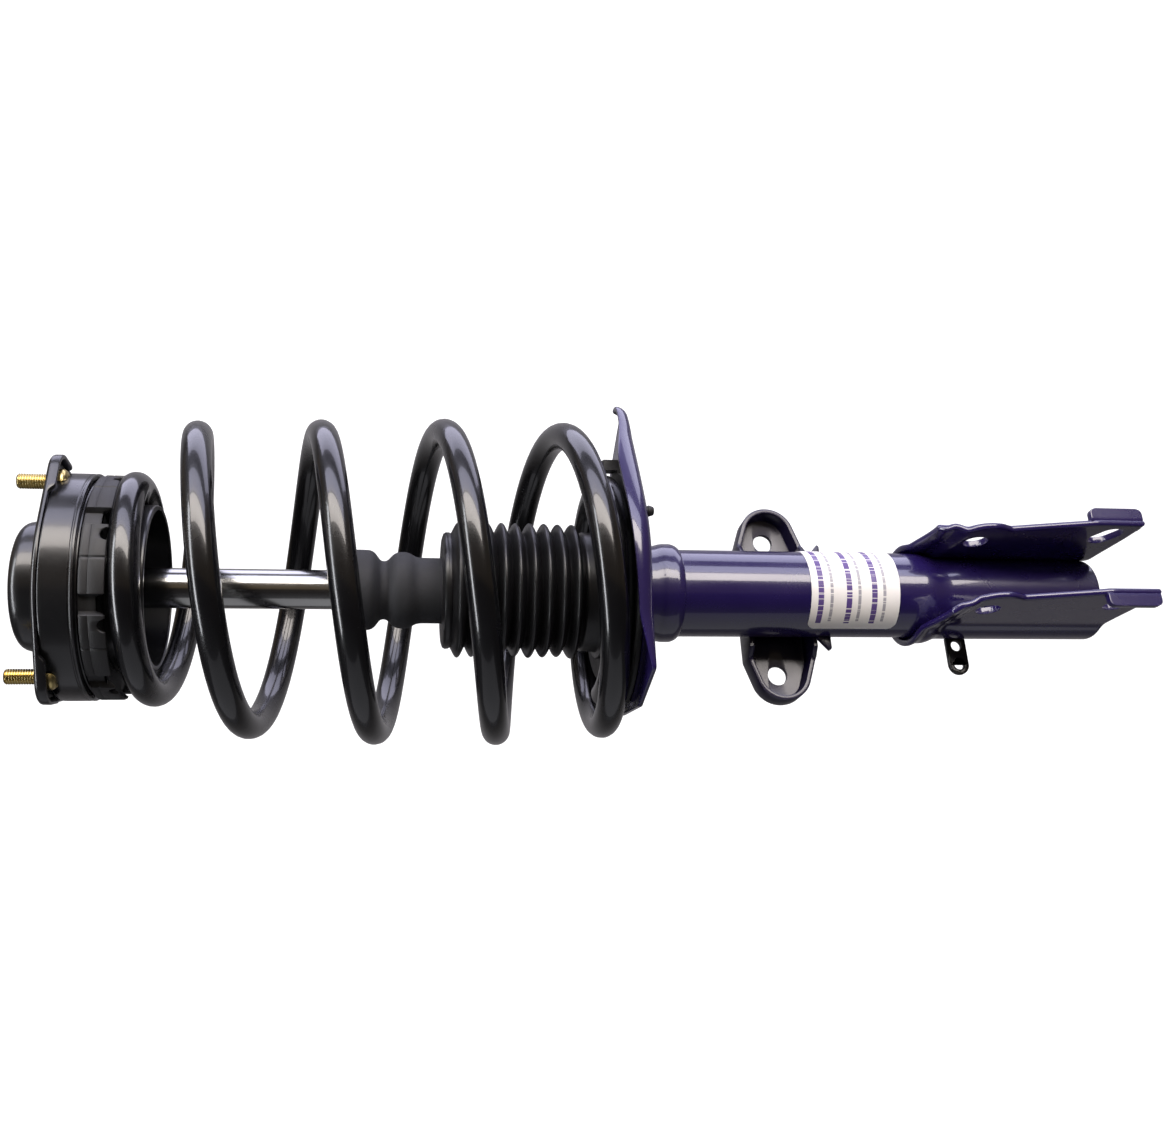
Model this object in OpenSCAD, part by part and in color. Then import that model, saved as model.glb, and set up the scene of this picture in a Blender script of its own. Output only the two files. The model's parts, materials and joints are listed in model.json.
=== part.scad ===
// Front suspension strut: top mount, coil spring, damper and knuckle bracket.
// +Z runs along the strut towards the car body, with the origin at the centre
// of the mount studs on the mounting face. The knuckle bracket opens to -Y.

/* [Damper tube] */
// Outside radius of the reservoir tube
tube_r = 25.4; // [24:0.2:31]
// Wall of the reservoir tube
tube_wall = 2.2; // [1.8:0.1:3]
// Outside radius of the tube where the knuckle bracket grips it
swage_r = 22.6; // [22:0.1:26]
// Height of the top end of the tube
tube_top = -283; // [-290:1:-276]
// Height at which the tube narrows into the knuckle bracket
swage_z = -488; // [-500:1:-470]
// Height of the bottom end of the tube
tube_bottom = -597; // [-620:1:-580]
// Inside radius of the pressure tube
bore_r = 15.5; // [14:0.5:16.5]
// Wall of the pressure tube
bore_wall = 1.5; // [1:0.1:2.2]

/* [Piston rod] */
// Radius of the chromed rod
rod_r = 11; // [9:0.5:12]
// Radius of the threaded rod end
thread_r = 7; // [6:0.5:8]
// Height of the piston's upper face when the strut is fully extended
piston_top = -330; // [-360:1:-326]
// Length of the piston
piston_len = 15; // [10:1:20]

/* [Coil spring] */
// Radius of the spring wire
wire_r = 7.75; // [6:0.25:8.5]
// Centreline radius of the main coils
coil_r = 78.5; // [72:0.5:84]
// Growth of the centreline radius from the top coil to the bottom coil
coil_grow = 5.5; // [0:0.5:7]
// Centreline radius of the upper end coil
top_coil_r = 55; // [52:0.5:58]
// Centreline radius of the lower end coil
low_coil_r = 60; // [58:0.5:62]
// How far the main coils stand off the strut axis, towards the wide side of the lower seat
coil_shift = 5; // [0:0.5:8]
// Pitch of the main coils
pitch = 67; // [56:1:72]
// Pitch at which the wire leaves the upper seat
lead_pitch = 16; // [0:1:20]

/* [Top mount] */
// Radius of the stud circle
stud_circle_r = 58.5; // [55:0.5:62]
// Stud radius
stud_r = 4; // [3:0.5:5]
// How far the studs stand above the mounting face
stud_len = 17; // [12:1:30]
// Radius of the mount plate
plate_r = 61; // [60:0.5:66]
// Thickness of the mount plate
plate_t = 3; // [2:0.5:5]
// Radius of the plate corners around the studs
lobe_r = 14.3; // [11:0.1:17]
// Outside radius of the bush can
can_r = 35; // [33:0.5:38]
// Height of the bush can above the mounting face
can_top = 19; // [16:0.5:26]
// Outside radius of the bearing cup
cup_r = 61; // [58:0.5:63]
// Depth of the bearing cup below the mount plate
cup_depth = 17; // [15.5:0.5:20]
// Radius of the spigot that centres the spring
hub_r = 45; // [40:0.5:46]
// Height of the spigot's lower edge
hub_bottom = -50; // [-58:1:-44]

/* [Lower spring seat] */
// Reach of the seat's nose from the axis
seat_r = 107; // [96:1:112]
// How far the seat's rimmed edge stays inside the outside of the main coils
rim_inset = 6.75; // [0:0.25:9]
// Distance from the axis to the seat's trimmed edge
seat_trim = 62; // [56:1:80]
// Height of the face that carries the rubber pad
seat_z = -305; // [-312:1:-300]
// Sheet thickness of the seat
seat_t = 2.5; // [2:0.5:4]
// Height of the turned rim
seat_rim = 10; // [6:1:14]
// Thickness of the rubber pad under the spring
pad_t = 3; // [2:0.5:4]
// Outside radius of the rubber pad
pad_r = 69; // [66:0.5:74]
// Wall of the weld collar under the seat
collar_wall = 3.3; // [2.5:0.1:8]
// Height of the bottom of the weld collar
collar_bottom = -339; // [-350:1:-330]

/* [Bump stop and boot] */
// Radius of the larger bulb of the bump stop
stop_r = 22.7; // [18:0.1:25]
// Height of the top of the bump stop
stop_top = -149; // [-155:1:-145]
// Crest radius of the boot
boot_r = 38.3; // [35:0.1:42]
// Depth of the boot's folds
fold_depth = 6; // [4:0.5:7]
// Spacing of the boot's folds
fold_pitch = 8.1; // [7:0.1:9]
// Number of folds
folds = 9; // [7:1:9]
// Wall of the boot
boot_wall = 1.5; // [1:0.1:2]

/* [Knuckle bracket] */
// Sheet thickness of the bracket
knuckle_t = 3.75; // [3:0.25:5]
// Clear gap between the ears
knuckle_gap = 38.4; // [34:0.2:40]
// Height of the upper bolt hole
bolt_z = -512; // [-520:1:-506]
// Reach of the upper bolt hole from the strut axis
bolt_reach = 38.5; // [36:0.5:42]
// Radius of the knuckle bolt holes
bolt_r = 7.1; // [6:0.1:8.5]
// Distance between the knuckle bolts along the strut
bolt_spacing = 76; // [60:1:80]
// Reach of the lower slotted hole from the strut axis
slot_reach = 50.5; // [46:0.5:53]
// Extra length of the slotted hole
slot_extra = 7; // [0:0.5:9]
// Reach of the ears at the lower flanges
ear_reach = 66; // [64:0.5:70]
// Height of the bottom edge of the bracket
bracket_bottom = -600; // [-612:1:-596]

/* [Link and hose brackets] */
// Height of the sway bar link holes
link_z = -404; // [-412:0.5:-396]
// Distance between the link holes
link_spacing = 86; // [80:1:96]
// Radius of the link holes
link_r = 6; // [4:0.5:7]
// Width of the link bracket along the strut
link_w = 42; // [36:1:50]
// Sheet thickness of the link bracket
link_t = 3; // [2:0.5:4]
// How deep the link bracket's plate is let into the back of the tube
link_bite = 1.4; // [0.2:0.1:2.4]
// Radius of the hose bracket holes
hose_r = 3.2; // [2:0.1:4]
// Distance between the hose bracket holes
hose_spacing = 11.6; // [9:0.1:16]
// Height of the hose bracket
hose_z = -512.5; // [-530:0.5:-505]

/* [Hidden] */
$fn = 96;

eps = 0.01;
gap = 0.3;              // clearance between parts that move past each other
running_gap = 0.05;     // radial clearance of the sliding fits
wide_side = -20;        // direction of the seat's wide side, degrees about Z
seat_side = coil_r + coil_grow + wire_r - rim_inset;    // axis to the seat's rimmed edge
stud_angles = [-42, 78, -162];

// Damper
tube_in = tube_r - tube_wall;
collar_r = tube_r + collar_wall;
swage_len = 10;
swage_in = swage_r - tube_wall;
cap_wall = 1.6;
cap_top = tube_top + 2;
cap_skirt = 14;
seal_h = 5;
guide_h = 18;
guide_spigot = 5;
bush_wall = 2;
guide_top = tube_top - 2 - seal_h;
guide_face = guide_top - guide_h;
valve_h = 13;
valve_spigot = 5;
end_cap_h = 4;
end_cap_top = tube_bottom + end_cap_h;
valve_top = end_cap_top + valve_h;
stop_ring_top = guide_face - guide_spigot - gap;
stop_ring_h = 4;
shim_h = 2;
shim_r = bore_r - 3;
rod_stub_r = 6;
rod_bottom = piston_top - piston_len - 11;

knurl = 0.2;            // extra radius of the studs where they press into the plate

// Top mount stack, from the rod shoulder upwards
shoulder_z = -14;
washer_t = 3;
sleeve_bottom = shoulder_z + washer_t;
sleeve_top = 7;
top_washer_t = 2.5;
nut_z = sleeve_top + top_washer_t;
nut_h = 8;
nut_corner_r = 12.1;
sleeve_r = 12;
can_wall = 2.5;
can_bottom = -16;
can_mouth_r = 16;
cup_wall = 2.5;
cup_floor = -plate_t - cup_wall;
cup_bottom = -plate_t - cup_depth;
race_t = 3.4;
race_in = 46;
race_out = 56;
ball_r = 2.9;
ball_circle = (race_in + race_out) / 2;
ball_count = 30;
ball_z = cup_floor - race_t - gap - ball_r;
lower_race_top = ball_z - ball_r - gap;
flange_top = lower_race_top - race_t;
flange_t = 2.5;
flange_r = cup_r - cup_wall - 1;
isolator_r = 60.5;
isolator_t = 9.5;
hub_wall = 2.5;
hub_floor = cup_bottom - 11;    // the closed end sits inside the spigot

// Spring: heights of the end coils and turns between them
top_coil_z = flange_top - flange_t - isolator_t - wire_r;
low_coil_z = seat_z + pad_t + wire_r + gap;
ease_in = 1.5;          // turns over which the pitch grows from the lead to the full pitch
ease_out = 0.5;         // turns over which it falls to nothing
ease_drop = ease_in * (lead_pitch + pitch) / 2 + ease_out * pitch / 2;
turns_mid = (top_coil_z - low_coil_z - ease_drop) / pitch;
turns_out = ease_in + turns_mid;
turns_end = turns_out + ease_out + 0.82;
turns_start = -0.4;
spring_steps = 200;
wire_sides = 14;

function smooth(x) = let (t = max(0, min(1, x))) t * t * (3 - 2 * t);
function smooth_sum(x) = let (t = max(0, min(1, x))) t * t * t - t * t * t * t / 2;
function coil_drop(t) = lead_pitch * max(0, min(t, ease_in))
    + (pitch - lead_pitch) * ease_in * smooth_sum(t / ease_in)
    + pitch * max(0, min(t, turns_out) - ease_in)
    + pitch * (t > turns_out ? let (e = min(1, (t - turns_out) / ease_out)) ease_out * (e - smooth_sum(e)) : 0);
function coil_radius(t) = t < turns_out
    ? top_coil_r + (coil_r - top_coil_r) * smooth((t - 0.4) / 0.6)
        + coil_grow * smooth((t - 1) / 2)
    : low_coil_r + (coil_r + coil_grow - low_coil_r) * (1 - smooth((t - turns_out - 0.15) / 0.7));
function coil_offset(t) = coil_shift * smooth((t - 0.5) / 0.5) * (1 - smooth((t - turns_out - 0.15) / 0.6));
function coil_point(t) = let (a = wide_side - 360 * t, r = coil_radius(t), s = coil_offset(t))
    [r * cos(a) + s * cos(wide_side), r * sin(a) + s * sin(wide_side), top_coil_z - coil_drop(t)];
function unit(v) = v / norm(v);

// Boot
boot_top = stop_top - 53.6;
boot_folds_top = boot_top - 5;
boot_waist_top = boot_folds_top - folds * fold_pitch;
boot_foot = seat_z + 12;
boot_root = boot_r - fold_depth;
boot_collar_r = 33;
waist_r = 34.2;
tail_r = 19;

// Locating pin of the lower pad
pin_angle = -75;
pin_reach = 74;

// Knuckle bracket
ear_in = knuckle_gap / 2;
ear_out = ear_in + knuckle_t;
wrap_r = swage_r + knuckle_t;
bracket_top = -480;
lip_t = 3.5;
lip_out = 2;
bump_r = 20.5;
flange_top_z = bracket_bottom + 29;
flange_out = 7;
slot_z = bolt_z - bolt_spacing;
slot_tilt = 25;

// Link bracket
link_back = tube_r - link_bite;
link_tail = 7;          // reach of the small wings below the bracket
link_x = link_spacing / 2;
link_reach = link_x + 18.5;
link_rim = 12;

module ring(r_out, r_in, bottom, top) {
    translate([0, 0, bottom]) difference() {
        cylinder(r = r_out, h = top - bottom);
        translate([0, 0, -1]) cylinder(r = r_in, h = top - bottom + 2);
    }
}

module disc(r, bottom, top) {
    translate([0, 0, bottom]) cylinder(r = r, h = top - bottom);
}

module hexagon(corner_r, bottom, top) {
    translate([0, 0, bottom]) cylinder(r = corner_r, h = top - bottom, $fn = 6);
}

// Round outline with a rounded corner at each stud
module plate_outline(grow) {
    side = acos((plate_r - lobe_r) / stud_circle_r);
    circle(r = plate_r + grow);
    for (a = stud_angles) rotate(a) {
        translate([stud_circle_r, 0]) circle(r = lobe_r + grow);
        polygon([[0, 0],
            (plate_r + grow) * [cos(side), sin(side)],
            [stud_circle_r, 0] + (lobe_r + grow) * [cos(side), sin(side)],
            [stud_circle_r, 0] + (lobe_r + grow) * [cos(side), -sin(side)],
            (plate_r + grow) * [cos(side), -sin(side)]]);
    }
}

module mount_plate() {
    color([0.05, 0.05, 0.06]) difference() {
        union() {
            translate([0, 0, -plate_t]) linear_extrude(plate_t) plate_outline(0);
            translate([0, 0, -plate_t - 3]) linear_extrude(3 + eps) difference() {
                plate_outline(0);
                plate_outline(-2.5);
                circle(r = cup_r + 0.2);
            }
        }
        translate([0, 0, -plate_t - 1]) cylinder(r = can_r, h = plate_t + 2);
        for (a = stud_angles) rotate(a) translate([stud_circle_r, 0, -plate_t - 5])
            cylinder(r = stud_r + knurl, h = plate_t + 10);
    }
}

module mount_can() {
    shoulder = 9;
    color([0.05, 0.05, 0.06]) rotate_extrude() difference() {
        union() {
            translate([0, can_bottom]) square([can_r, can_top - shoulder - can_bottom]);
            translate([0, can_top - shoulder - eps]) square([can_r - shoulder, shoulder + eps]);
            intersection() {
                translate([can_r - shoulder, can_top - shoulder]) circle(r = shoulder);
                translate([0, can_top - shoulder - eps]) square([can_r, shoulder + eps]);
            }
        }
        translate([0, can_bottom - 1]) square([can_r - can_wall, can_top - shoulder - can_bottom + 1]);
        translate([0, can_bottom]) square([can_r - shoulder, can_top - can_wall - can_bottom]);
        intersection() {
            translate([can_r - shoulder, can_top - shoulder]) circle(r = shoulder - can_wall);
            translate([0, can_top - shoulder - 1]) square([can_r, shoulder + 1]);
        }
        square([can_mouth_r, can_top + 1]);
    }
}

module mount_cup() {
    color([0.06, 0.06, 0.07]) {
        ring(cup_r, can_r, cup_floor, -plate_t);
        ring(cup_r, cup_r - cup_wall, cup_bottom, cup_floor + eps);
    }
}

module mount_studs() {
    head_h = 5;
    tip = 1;
    color([0.72, 0.6, 0.25]) for (a = stud_angles) rotate(a) translate([stud_circle_r, 0, 0]) {
        difference() {
            translate([0, 0, -plate_t - head_h]) cylinder(r = stud_r + 3, h = head_h);
            translate([-20 + cup_r - stud_circle_r + 0.1, -10, -plate_t - head_h - 1]) cube([20, 20, head_h + 1]);
        }
        rotate_extrude() polygon([[0, -plate_t], [stud_r + knurl, -plate_t], [stud_r + knurl, 0],
            [stud_r, 0], [stud_r, stud_len - tip],
            [stud_r - tip, stud_len], [0, stud_len]]);
    }
}

module mount_rubber() {
    color([0.04, 0.04, 0.04]) ring(can_r - can_wall, sleeve_r, sleeve_bottom + 1, sleeve_top - 1);
}

module center_sleeve() {
    color("silver") ring(sleeve_r, thread_r, sleeve_bottom, sleeve_top);
}

module rod_washers() {
    color("silver") {
        ring(20, thread_r, shoulder_z, sleeve_bottom);
        ring(15.5, thread_r, sleeve_top, sleeve_top + top_washer_t);
    }
}

module rod_nut() {
    color("silver") difference() {
        hexagon(nut_corner_r, nut_z, nut_z + nut_h);
        disc(thread_r, nut_z - 1, nut_z + nut_h + 1);
    }
}

module bearing_upper_race() {
    color("silver") ring(race_out, race_in, cup_floor - race_t, cup_floor);
}

module piston_rod() {
    color([0.8, 0.8, 0.82]) {
        disc(thread_r, shoulder_z - eps, can_top - 1);
        disc(rod_r, piston_top, shoulder_z);
        disc(rod_stub_r, rod_bottom, piston_top + eps);
    }
}

module rebound_stop() {
    color("gray") ring(bore_r - 0.7, rod_r, stop_ring_top - stop_ring_h, stop_ring_top);
}

module piston() {
    ports = 6;
    color("gray") difference() {
        ring(bore_r - gap, rod_stub_r, piston_top - piston_len, piston_top - shim_h);
        ring(bore_r, bore_r - 1, piston_top - piston_len + 3, piston_top - shim_h - 3);
        for (i = [0 : ports - 1]) rotate(360 * i / ports)
            translate([(bore_r + rod_stub_r) / 2 - 0.5, 0, piston_top - piston_len - 1])
                cylinder(r = 1.6, h = piston_len + 2);
    }
}

module piston_band() {
    color("dimgray") ring(bore_r - running_gap, bore_r - 1, piston_top - piston_len + 3, piston_top - shim_h - 3);
}

module piston_shims() {
    color("silver") ring(shim_r, rod_stub_r, piston_top - shim_h, piston_top);
}

module piston_nut() {
    color("gray") difference() {
        hexagon(11, piston_top - piston_len - 8, piston_top - piston_len);
        disc(rod_stub_r, piston_top - piston_len - 9, piston_top - piston_len + 1);
    }
}

module bearing_cage() {
    half = ball_r + 0.9;
    color("tan") difference() {
        ring(ball_circle + half, ball_circle - half, ball_z - 0.7, ball_z + 0.7);
        for (i = [0 : ball_count - 1]) rotate(360 * (i + 0.5) / ball_count)
            translate([ball_circle, 0, ball_z - 2]) cylinder(r = ball_r + 0.1, h = 4);
    }
}

module bearing_balls() {
    color("silver") for (i = [0 : ball_count - 1]) rotate(360 * (i + 0.5) / ball_count)
        translate([ball_circle, 0, ball_z]) sphere(r = ball_r, $fn = 24);
}

module bearing_lower_race() {
    color("silver") ring(race_out, race_in, flange_top, lower_race_top);
}

module upper_spring_seat() {
    color([0.05, 0.05, 0.06]) {
        ring(flange_r, hub_r - hub_wall, flange_top - flange_t, flange_top);
        ring(hub_r, hub_r - hub_wall, hub_bottom, flange_top - flange_t + eps);
        ring(hub_r - hub_wall + eps, rod_r + 3, hub_floor, hub_floor + hub_wall);
    }
}

module upper_isolator() {
    lugs = 8;
    lug_turn = 13.3;
    lug_wide = 38;
    bottom = top_coil_z + wire_r;
    top = flange_top - flange_t;
    color([0.05, 0.05, 0.05]) {
        ring(isolator_r - 3, hub_r, bottom, top);
        for (i = [0 : lugs - 1]) intersection() {
            ring(isolator_r, isolator_r - 3 - eps, bottom, cup_bottom - 2);
            rotate(360 * i / lugs + wide_side + lug_turn)
                translate([isolator_r - 8, -lug_wide / 2, bottom - 1]) cube([16, lug_wide, 30]);
        }
    }
}

module coil_spring() {
    path = [for (i = [0 : spring_steps])
        coil_point(turns_start + (turns_end - turns_start) * i / spring_steps)];
    dirs = [for (i = [0 : spring_steps])
        unit(path[min(spring_steps, i + 1)] - path[max(0, i - 1)])];
    rings = [for (i = [0 : spring_steps])
        let (side = unit(cross(dirs[i], [0, 0, 1])), up = cross(side, dirs[i]))
        for (k = [0 : wire_sides - 1])
            let (a = 360 * k / wire_sides) path[i] + wire_r * (cos(a) * side + sin(a) * up)];
    walls = [for (i = [0 : spring_steps - 1]) for (k = [0 : wire_sides - 1])
        let (n = (k + 1) % wire_sides, a = i * wire_sides, b = a + wire_sides)
        [a + k, a + n, b + n, b + k]];
    first = [[for (k = [wire_sides - 1 : -1 : 0]) k]];
    last = [[for (k = [0 : wire_sides - 1]) spring_steps * wire_sides + k]];
    color([0.04, 0.04, 0.05]) polyhedron(concat(rings), concat(walls, first, last));
}

module bump_stop() {
    bore = rod_r + gap;
    color([0.16, 0.16, 0.17]) rotate_extrude() translate([0, stop_top]) polygon([
        [bore, 0], [stop_r - 7, 0], [stop_r, -4], [stop_r, -15], [stop_r - 6.2, -20],
        [stop_r - 6.2, -23], [stop_r - 1.1, -28], [stop_r - 1.1, -35], [stop_r - 5, -39],
        [tail_r - 0.5, -42], [tail_r - 0.5, -55], [bore, -55]]);
}

module strut_tube() {
    color([0.12, 0.09, 0.32]) rotate_extrude() polygon([
        [tube_in, tube_top], [tube_r, tube_top], [tube_r, swage_z], [swage_r, swage_z - swage_len],
        [swage_r, tube_bottom], [swage_in, tube_bottom], [swage_in, swage_z - swage_len],
        [tube_in, swage_z]]);
}

module tube_cap() {
    color("silver") {
        ring(tube_r + cap_wall, tube_r, cap_top - cap_skirt, tube_top + eps);
        ring(tube_r + cap_wall, rod_r + 2, tube_top, cap_top);
    }
}

module oil_seal() {
    color("black") ring(tube_in, rod_r + gap, guide_top, guide_top + seal_h);
}

module rod_guide() {
    color("gray") {
        ring(tube_in, rod_r + bush_wall, guide_face, guide_top);
        ring(bore_r, rod_r + bush_wall, guide_face - guide_spigot, guide_face + eps);
    }
}

module guide_bush() {
    color("tan") ring(rod_r + bush_wall, rod_r + running_gap, guide_face - guide_spigot, guide_top);
}

module pressure_tube() {
    color("silver") ring(bore_r + bore_wall, bore_r, valve_top, guide_face);
}

module base_valve() {
    color("gray") difference() {
        union() {
            disc(swage_in - gap, end_cap_top, valve_top);
            disc(bore_r, valve_top - eps, valve_top + valve_spigot);
        }
        for (a = [0 : 60 : 300]) rotate(a) translate([bore_r - 5, 0, end_cap_top - 1])
            cylinder(r = 1.8, h = valve_h + valve_spigot + 2);
    }
}

module end_cap() {
    color([0.12, 0.09, 0.32]) disc(swage_in, tube_bottom, end_cap_top);
}

// Seat outline: a nose at the wide side, a trimmed edge opposite, and a rimmed edge between them
module seat_outline(inset) {
    rotate(wide_side) hull() {
        circle(r = pad_r + 2 - inset);
        translate([5, -15]) circle(r = seat_side - 15 - inset);
        translate([seat_r - 14, -8]) circle(r = 14 - inset);
        translate([-seat_trim + 24, -seat_side + 1]) circle(r = 4 - inset);
        translate([-seat_trim + 5, -53]) circle(r = 5 - inset);
        translate([-seat_trim + 5, 42]) circle(r = 5 - inset);
    }
}

module lower_spring_seat() {
    rim = [[-seat_trim + 23, 0], [-seat_trim + 50, seat_rim], [seat_r - 37, seat_rim],
        [seat_r - 6, seat_rim * 0.5], [seat_r + 10, seat_rim * 0.5], [seat_r + 10, -seat_t / 2], [-seat_trim + 23, -seat_t / 2]];
    color([0.12, 0.09, 0.32]) difference() {
        union() {
            translate([0, 0, seat_z - seat_t]) linear_extrude(seat_t) seat_outline(0);
            intersection() {
                translate([0, 0, seat_z - seat_t / 2]) linear_extrude(seat_rim + seat_t) difference() {
                    seat_outline(0);
                    seat_outline(seat_t);
                }
                rotate(wide_side) translate([0, 0, seat_z]) rotate([90, 0, 0])
                    linear_extrude(2 * seat_r) polygon(rim);
            }
        }
        disc(tube_r, seat_z - seat_t - 1, seat_z + 1);
        rotate(pin_angle) translate([pin_reach, 0, seat_z - seat_t - 1]) cylinder(r = 2.5, h = seat_t + 2);
    }
}

module seat_collar() {
    bottom = collar_bottom;
    top = seat_z - seat_t;
    color([0.12, 0.09, 0.32]) rotate_extrude() polygon([
        [tube_r, top], [collar_r + 1, top], [collar_r - 1.5, top - 6], [collar_r - 1.5, bottom + 14],
        [collar_r, bottom + 11], [collar_r, bottom + 4], [collar_r - 2, bottom], [tube_r, bottom]]);
}

module lower_isolator() {
    hub_top = boot_foot - 0.4;
    hub_out = low_coil_r - wire_r - 1.2;
    hub_in = waist_r + 2;
    color([0.04, 0.04, 0.04]) {
        difference() {
            ring(pad_r, tube_r + 1, seat_z, seat_z + pad_t);
            rotate(wide_side) translate([-seat_trim - 49, -100, seat_z - 1]) cube([50, 200, pad_t + 2]);
        }
        ring(hub_out, hub_in, seat_z + pad_t - eps, hub_top);
        rotate(wide_side) translate([pad_r - 1, -9, seat_z]) {
            cube([8, 18, pad_t]);
            translate([2, 0, 0]) cube([6, 18, 11]);
        }
        rotate(pin_angle) {
            translate([pin_reach, 0, seat_z]) cylinder(r = 5, h = pad_t);
            translate([pad_r - 4, -4.5, seat_z]) cube([pin_reach - pad_r + 4, 9, pad_t]);
            translate([pin_reach, 0, seat_z - seat_t - 4]) cylinder(r = 2.5, h = seat_t + 4 + eps);
        }
    }
}

function boot_side(inset) = [for (i = [0 : folds - 1]) for (s = [0, 0.35, 0.5, 0.85])
    let (crest = (s == 0.35 || s == 0.5))
    [(crest ? boot_r : boot_root) - inset, boot_folds_top - (i + s) * fold_pitch]];

module dust_boot() {
    w = boot_wall;
    inner = boot_side(w);
    inner_up = [for (i = [len(inner) - 1 : -1 : 0]) inner[i]];
    color([0.04, 0.04, 0.04]) rotate_extrude() polygon(concat(
        [[tail_r, boot_top], [boot_collar_r, boot_top]],
        boot_side(0),
        [[waist_r, boot_waist_top], [waist_r, boot_foot + 2], [waist_r + 4, boot_foot + 2],
         [waist_r + 4, boot_foot], [waist_r - w, boot_foot], [waist_r - w, boot_waist_top]],
        inner_up,
        [[boot_collar_r - w, boot_top - w], [tail_r, boot_top - w]]));
}

// Half of the link bracket's outline, from the tube out to one ear
module link_half(inset) {
    r = 17 - inset;
    w = link_w - 2 * inset;
    translate([-eps, -w / 2]) square([link_x - 2, w]);
    translate([link_reach - 17, 0]) circle(r = r);
    translate([link_x - 4 , -w / 2 + r * 0.5]) square([6, w - r]);
    polygon([[link_x - 3, -w / 2], [link_reach - 17 + r * 0.6, -r * 0.8],
        [link_reach - 17 + r * 0.6, r * 0.8], [link_x - 3, w / 2]]);
}

module link_outline(inset) {
    link_half(inset);
    mirror([1, 0]) link_half(inset);
}

module link_bracket() {
    wing = 34;
    color([0.08, 0.07, 0.16]) difference() {
        translate([0, link_back + link_t, link_z]) rotate([90, 0, 0]) union() {
            linear_extrude(link_t) link_outline(0);
            linear_extrude(link_t + link_rim) difference() {
                link_outline(0);
                link_outline(link_t);
            }
            for (side = [-1, 1]) translate([-wing, side * (link_w - link_t) / 2 - link_t / 2, 0])
                cube([2 * wing, link_t, link_back + link_t - 6]);
            for (side = [0, 1]) mirror([side, 0, 0]) translate([0, 0, link_back - 6])
                linear_extrude(link_t) polygon([[tube_r - 3, 1 - link_w / 2], [tube_r - 3, -link_w / 2 - link_tail],
                    [tube_r + 8, -link_w / 2 - link_tail], [wing - 0.5, 1 - link_w / 2]]);
        }
        disc(tube_r, link_z - 40, link_z + 40);
        for (side = [-1, 1]) translate([side * link_x, link_back + link_t + 1, link_z])
            rotate([90, 0, 0]) cylinder(r = link_r, h = link_t + 2);
    }
}

// Cross section of the bracket: a wrap round the back of the tube and two ears
module bracket_section(grow, reach) {
    difference() {
        union() {
            circle(r = wrap_r + grow);
            translate([-ear_out - grow, -reach]) square([2 * (ear_out + grow), reach]);
        }
        circle(r = swage_r);
        translate([-ear_in, -reach - 1]) square([knuckle_gap, reach + 1]);
    }
}

// Side view of an ear: reach from the axis against height
module ear_outline() {
    polygon([[-40, bracket_top], [44, bracket_top], [51, bracket_top - 9],
        [55.5, bolt_z - 14], [ear_reach - 1, flange_top_z + 2], [ear_reach, flange_top_z],
        [ear_reach, bracket_bottom - 3], [ear_reach - 5, bracket_bottom - 4],
        [10, bracket_bottom], [-40, bracket_bottom]]);
    translate([bolt_reach, bolt_z]) circle(r = bump_r);
}

module slot_shape() {
    step = slot_extra / 2 * [cos(slot_tilt), -sin(slot_tilt)];
    side = (bolt_r - eps) * [sin(slot_tilt), cos(slot_tilt)];
    translate([slot_reach, slot_z]) {
        translate(step) circle(r = bolt_r);
        translate(-step) circle(r = bolt_r);
        polygon([step + side, step - side, -step - side, -step + side]);
    }
}

// Turns a side view (reach, height) into a solid across the bracket's width
module across(width) {
    translate([-width / 2, 0, 0]) rotate([90, 0, 90]) linear_extrude(width) mirror([1, 0]) children();
}

module knuckle_bracket() {
    length = bracket_top - bracket_bottom + 4;
    wide = 2 * (ear_out + flange_out);
    color([0.12, 0.09, 0.32]) difference() {
        union() {
            intersection() {
                union() {
                    translate([0, 0, bracket_bottom - 4]) linear_extrude(length)
                        bracket_section(0, ear_reach + 5);
                    for (side = [-1, 1]) translate([side * (ear_out + flange_out / 2 - 1), -ear_reach + knuckle_t / 2,
                            (flange_top_z + bracket_bottom - 10) / 2])
                        cube([flange_out + 2, knuckle_t, flange_top_z - bracket_bottom + 10], center = true);
                }
                across(4 * wrap_r) ear_outline();
            }
            translate([0, 0, swage_z - 1]) linear_extrude(bracket_top - swage_z + 1 - lip_t / 2)
                bracket_section(tube_r - swage_r, 44);
            translate([0, 0, bracket_top - lip_t]) linear_extrude(lip_t)
                bracket_section(lip_out + tube_r - swage_r, 44);
        }
        rotate_extrude() polygon([[0, bracket_top + 1], [tube_r, bracket_top + 1], [tube_r, swage_z],
            [2 * swage_r - tube_r, swage_z - 2 * swage_len], [0, swage_z - 2 * swage_len]]);
        translate([-wide, -bolt_reach, bolt_z]) rotate([0, 90, 0]) cylinder(r = bolt_r, h = 2 * wide);
        across(2 * wide) slot_shape();
    }
}

module hose_bracket() {
    half_w = 6.3;
    first = wrap_r + 3.5;
    y0 = 6;
    t = 3;
    color([0.03, 0.03, 0.05]) difference() {
        translate([0, y0 + t, hose_z]) rotate([90, 0, 0]) linear_extrude(t) difference() {
            union() {
                translate([-first - hose_spacing, -half_w]) square([hose_spacing + first - 20, 2 * half_w]);
                translate([-first - hose_spacing, 0]) circle(r = half_w);
            }
            for (i = [0, 1]) translate([-first - i * hose_spacing, 0]) circle(r = hose_r);
        }
        disc(wrap_r, hose_z - 20, hose_z + 20);
    }
}

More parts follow.
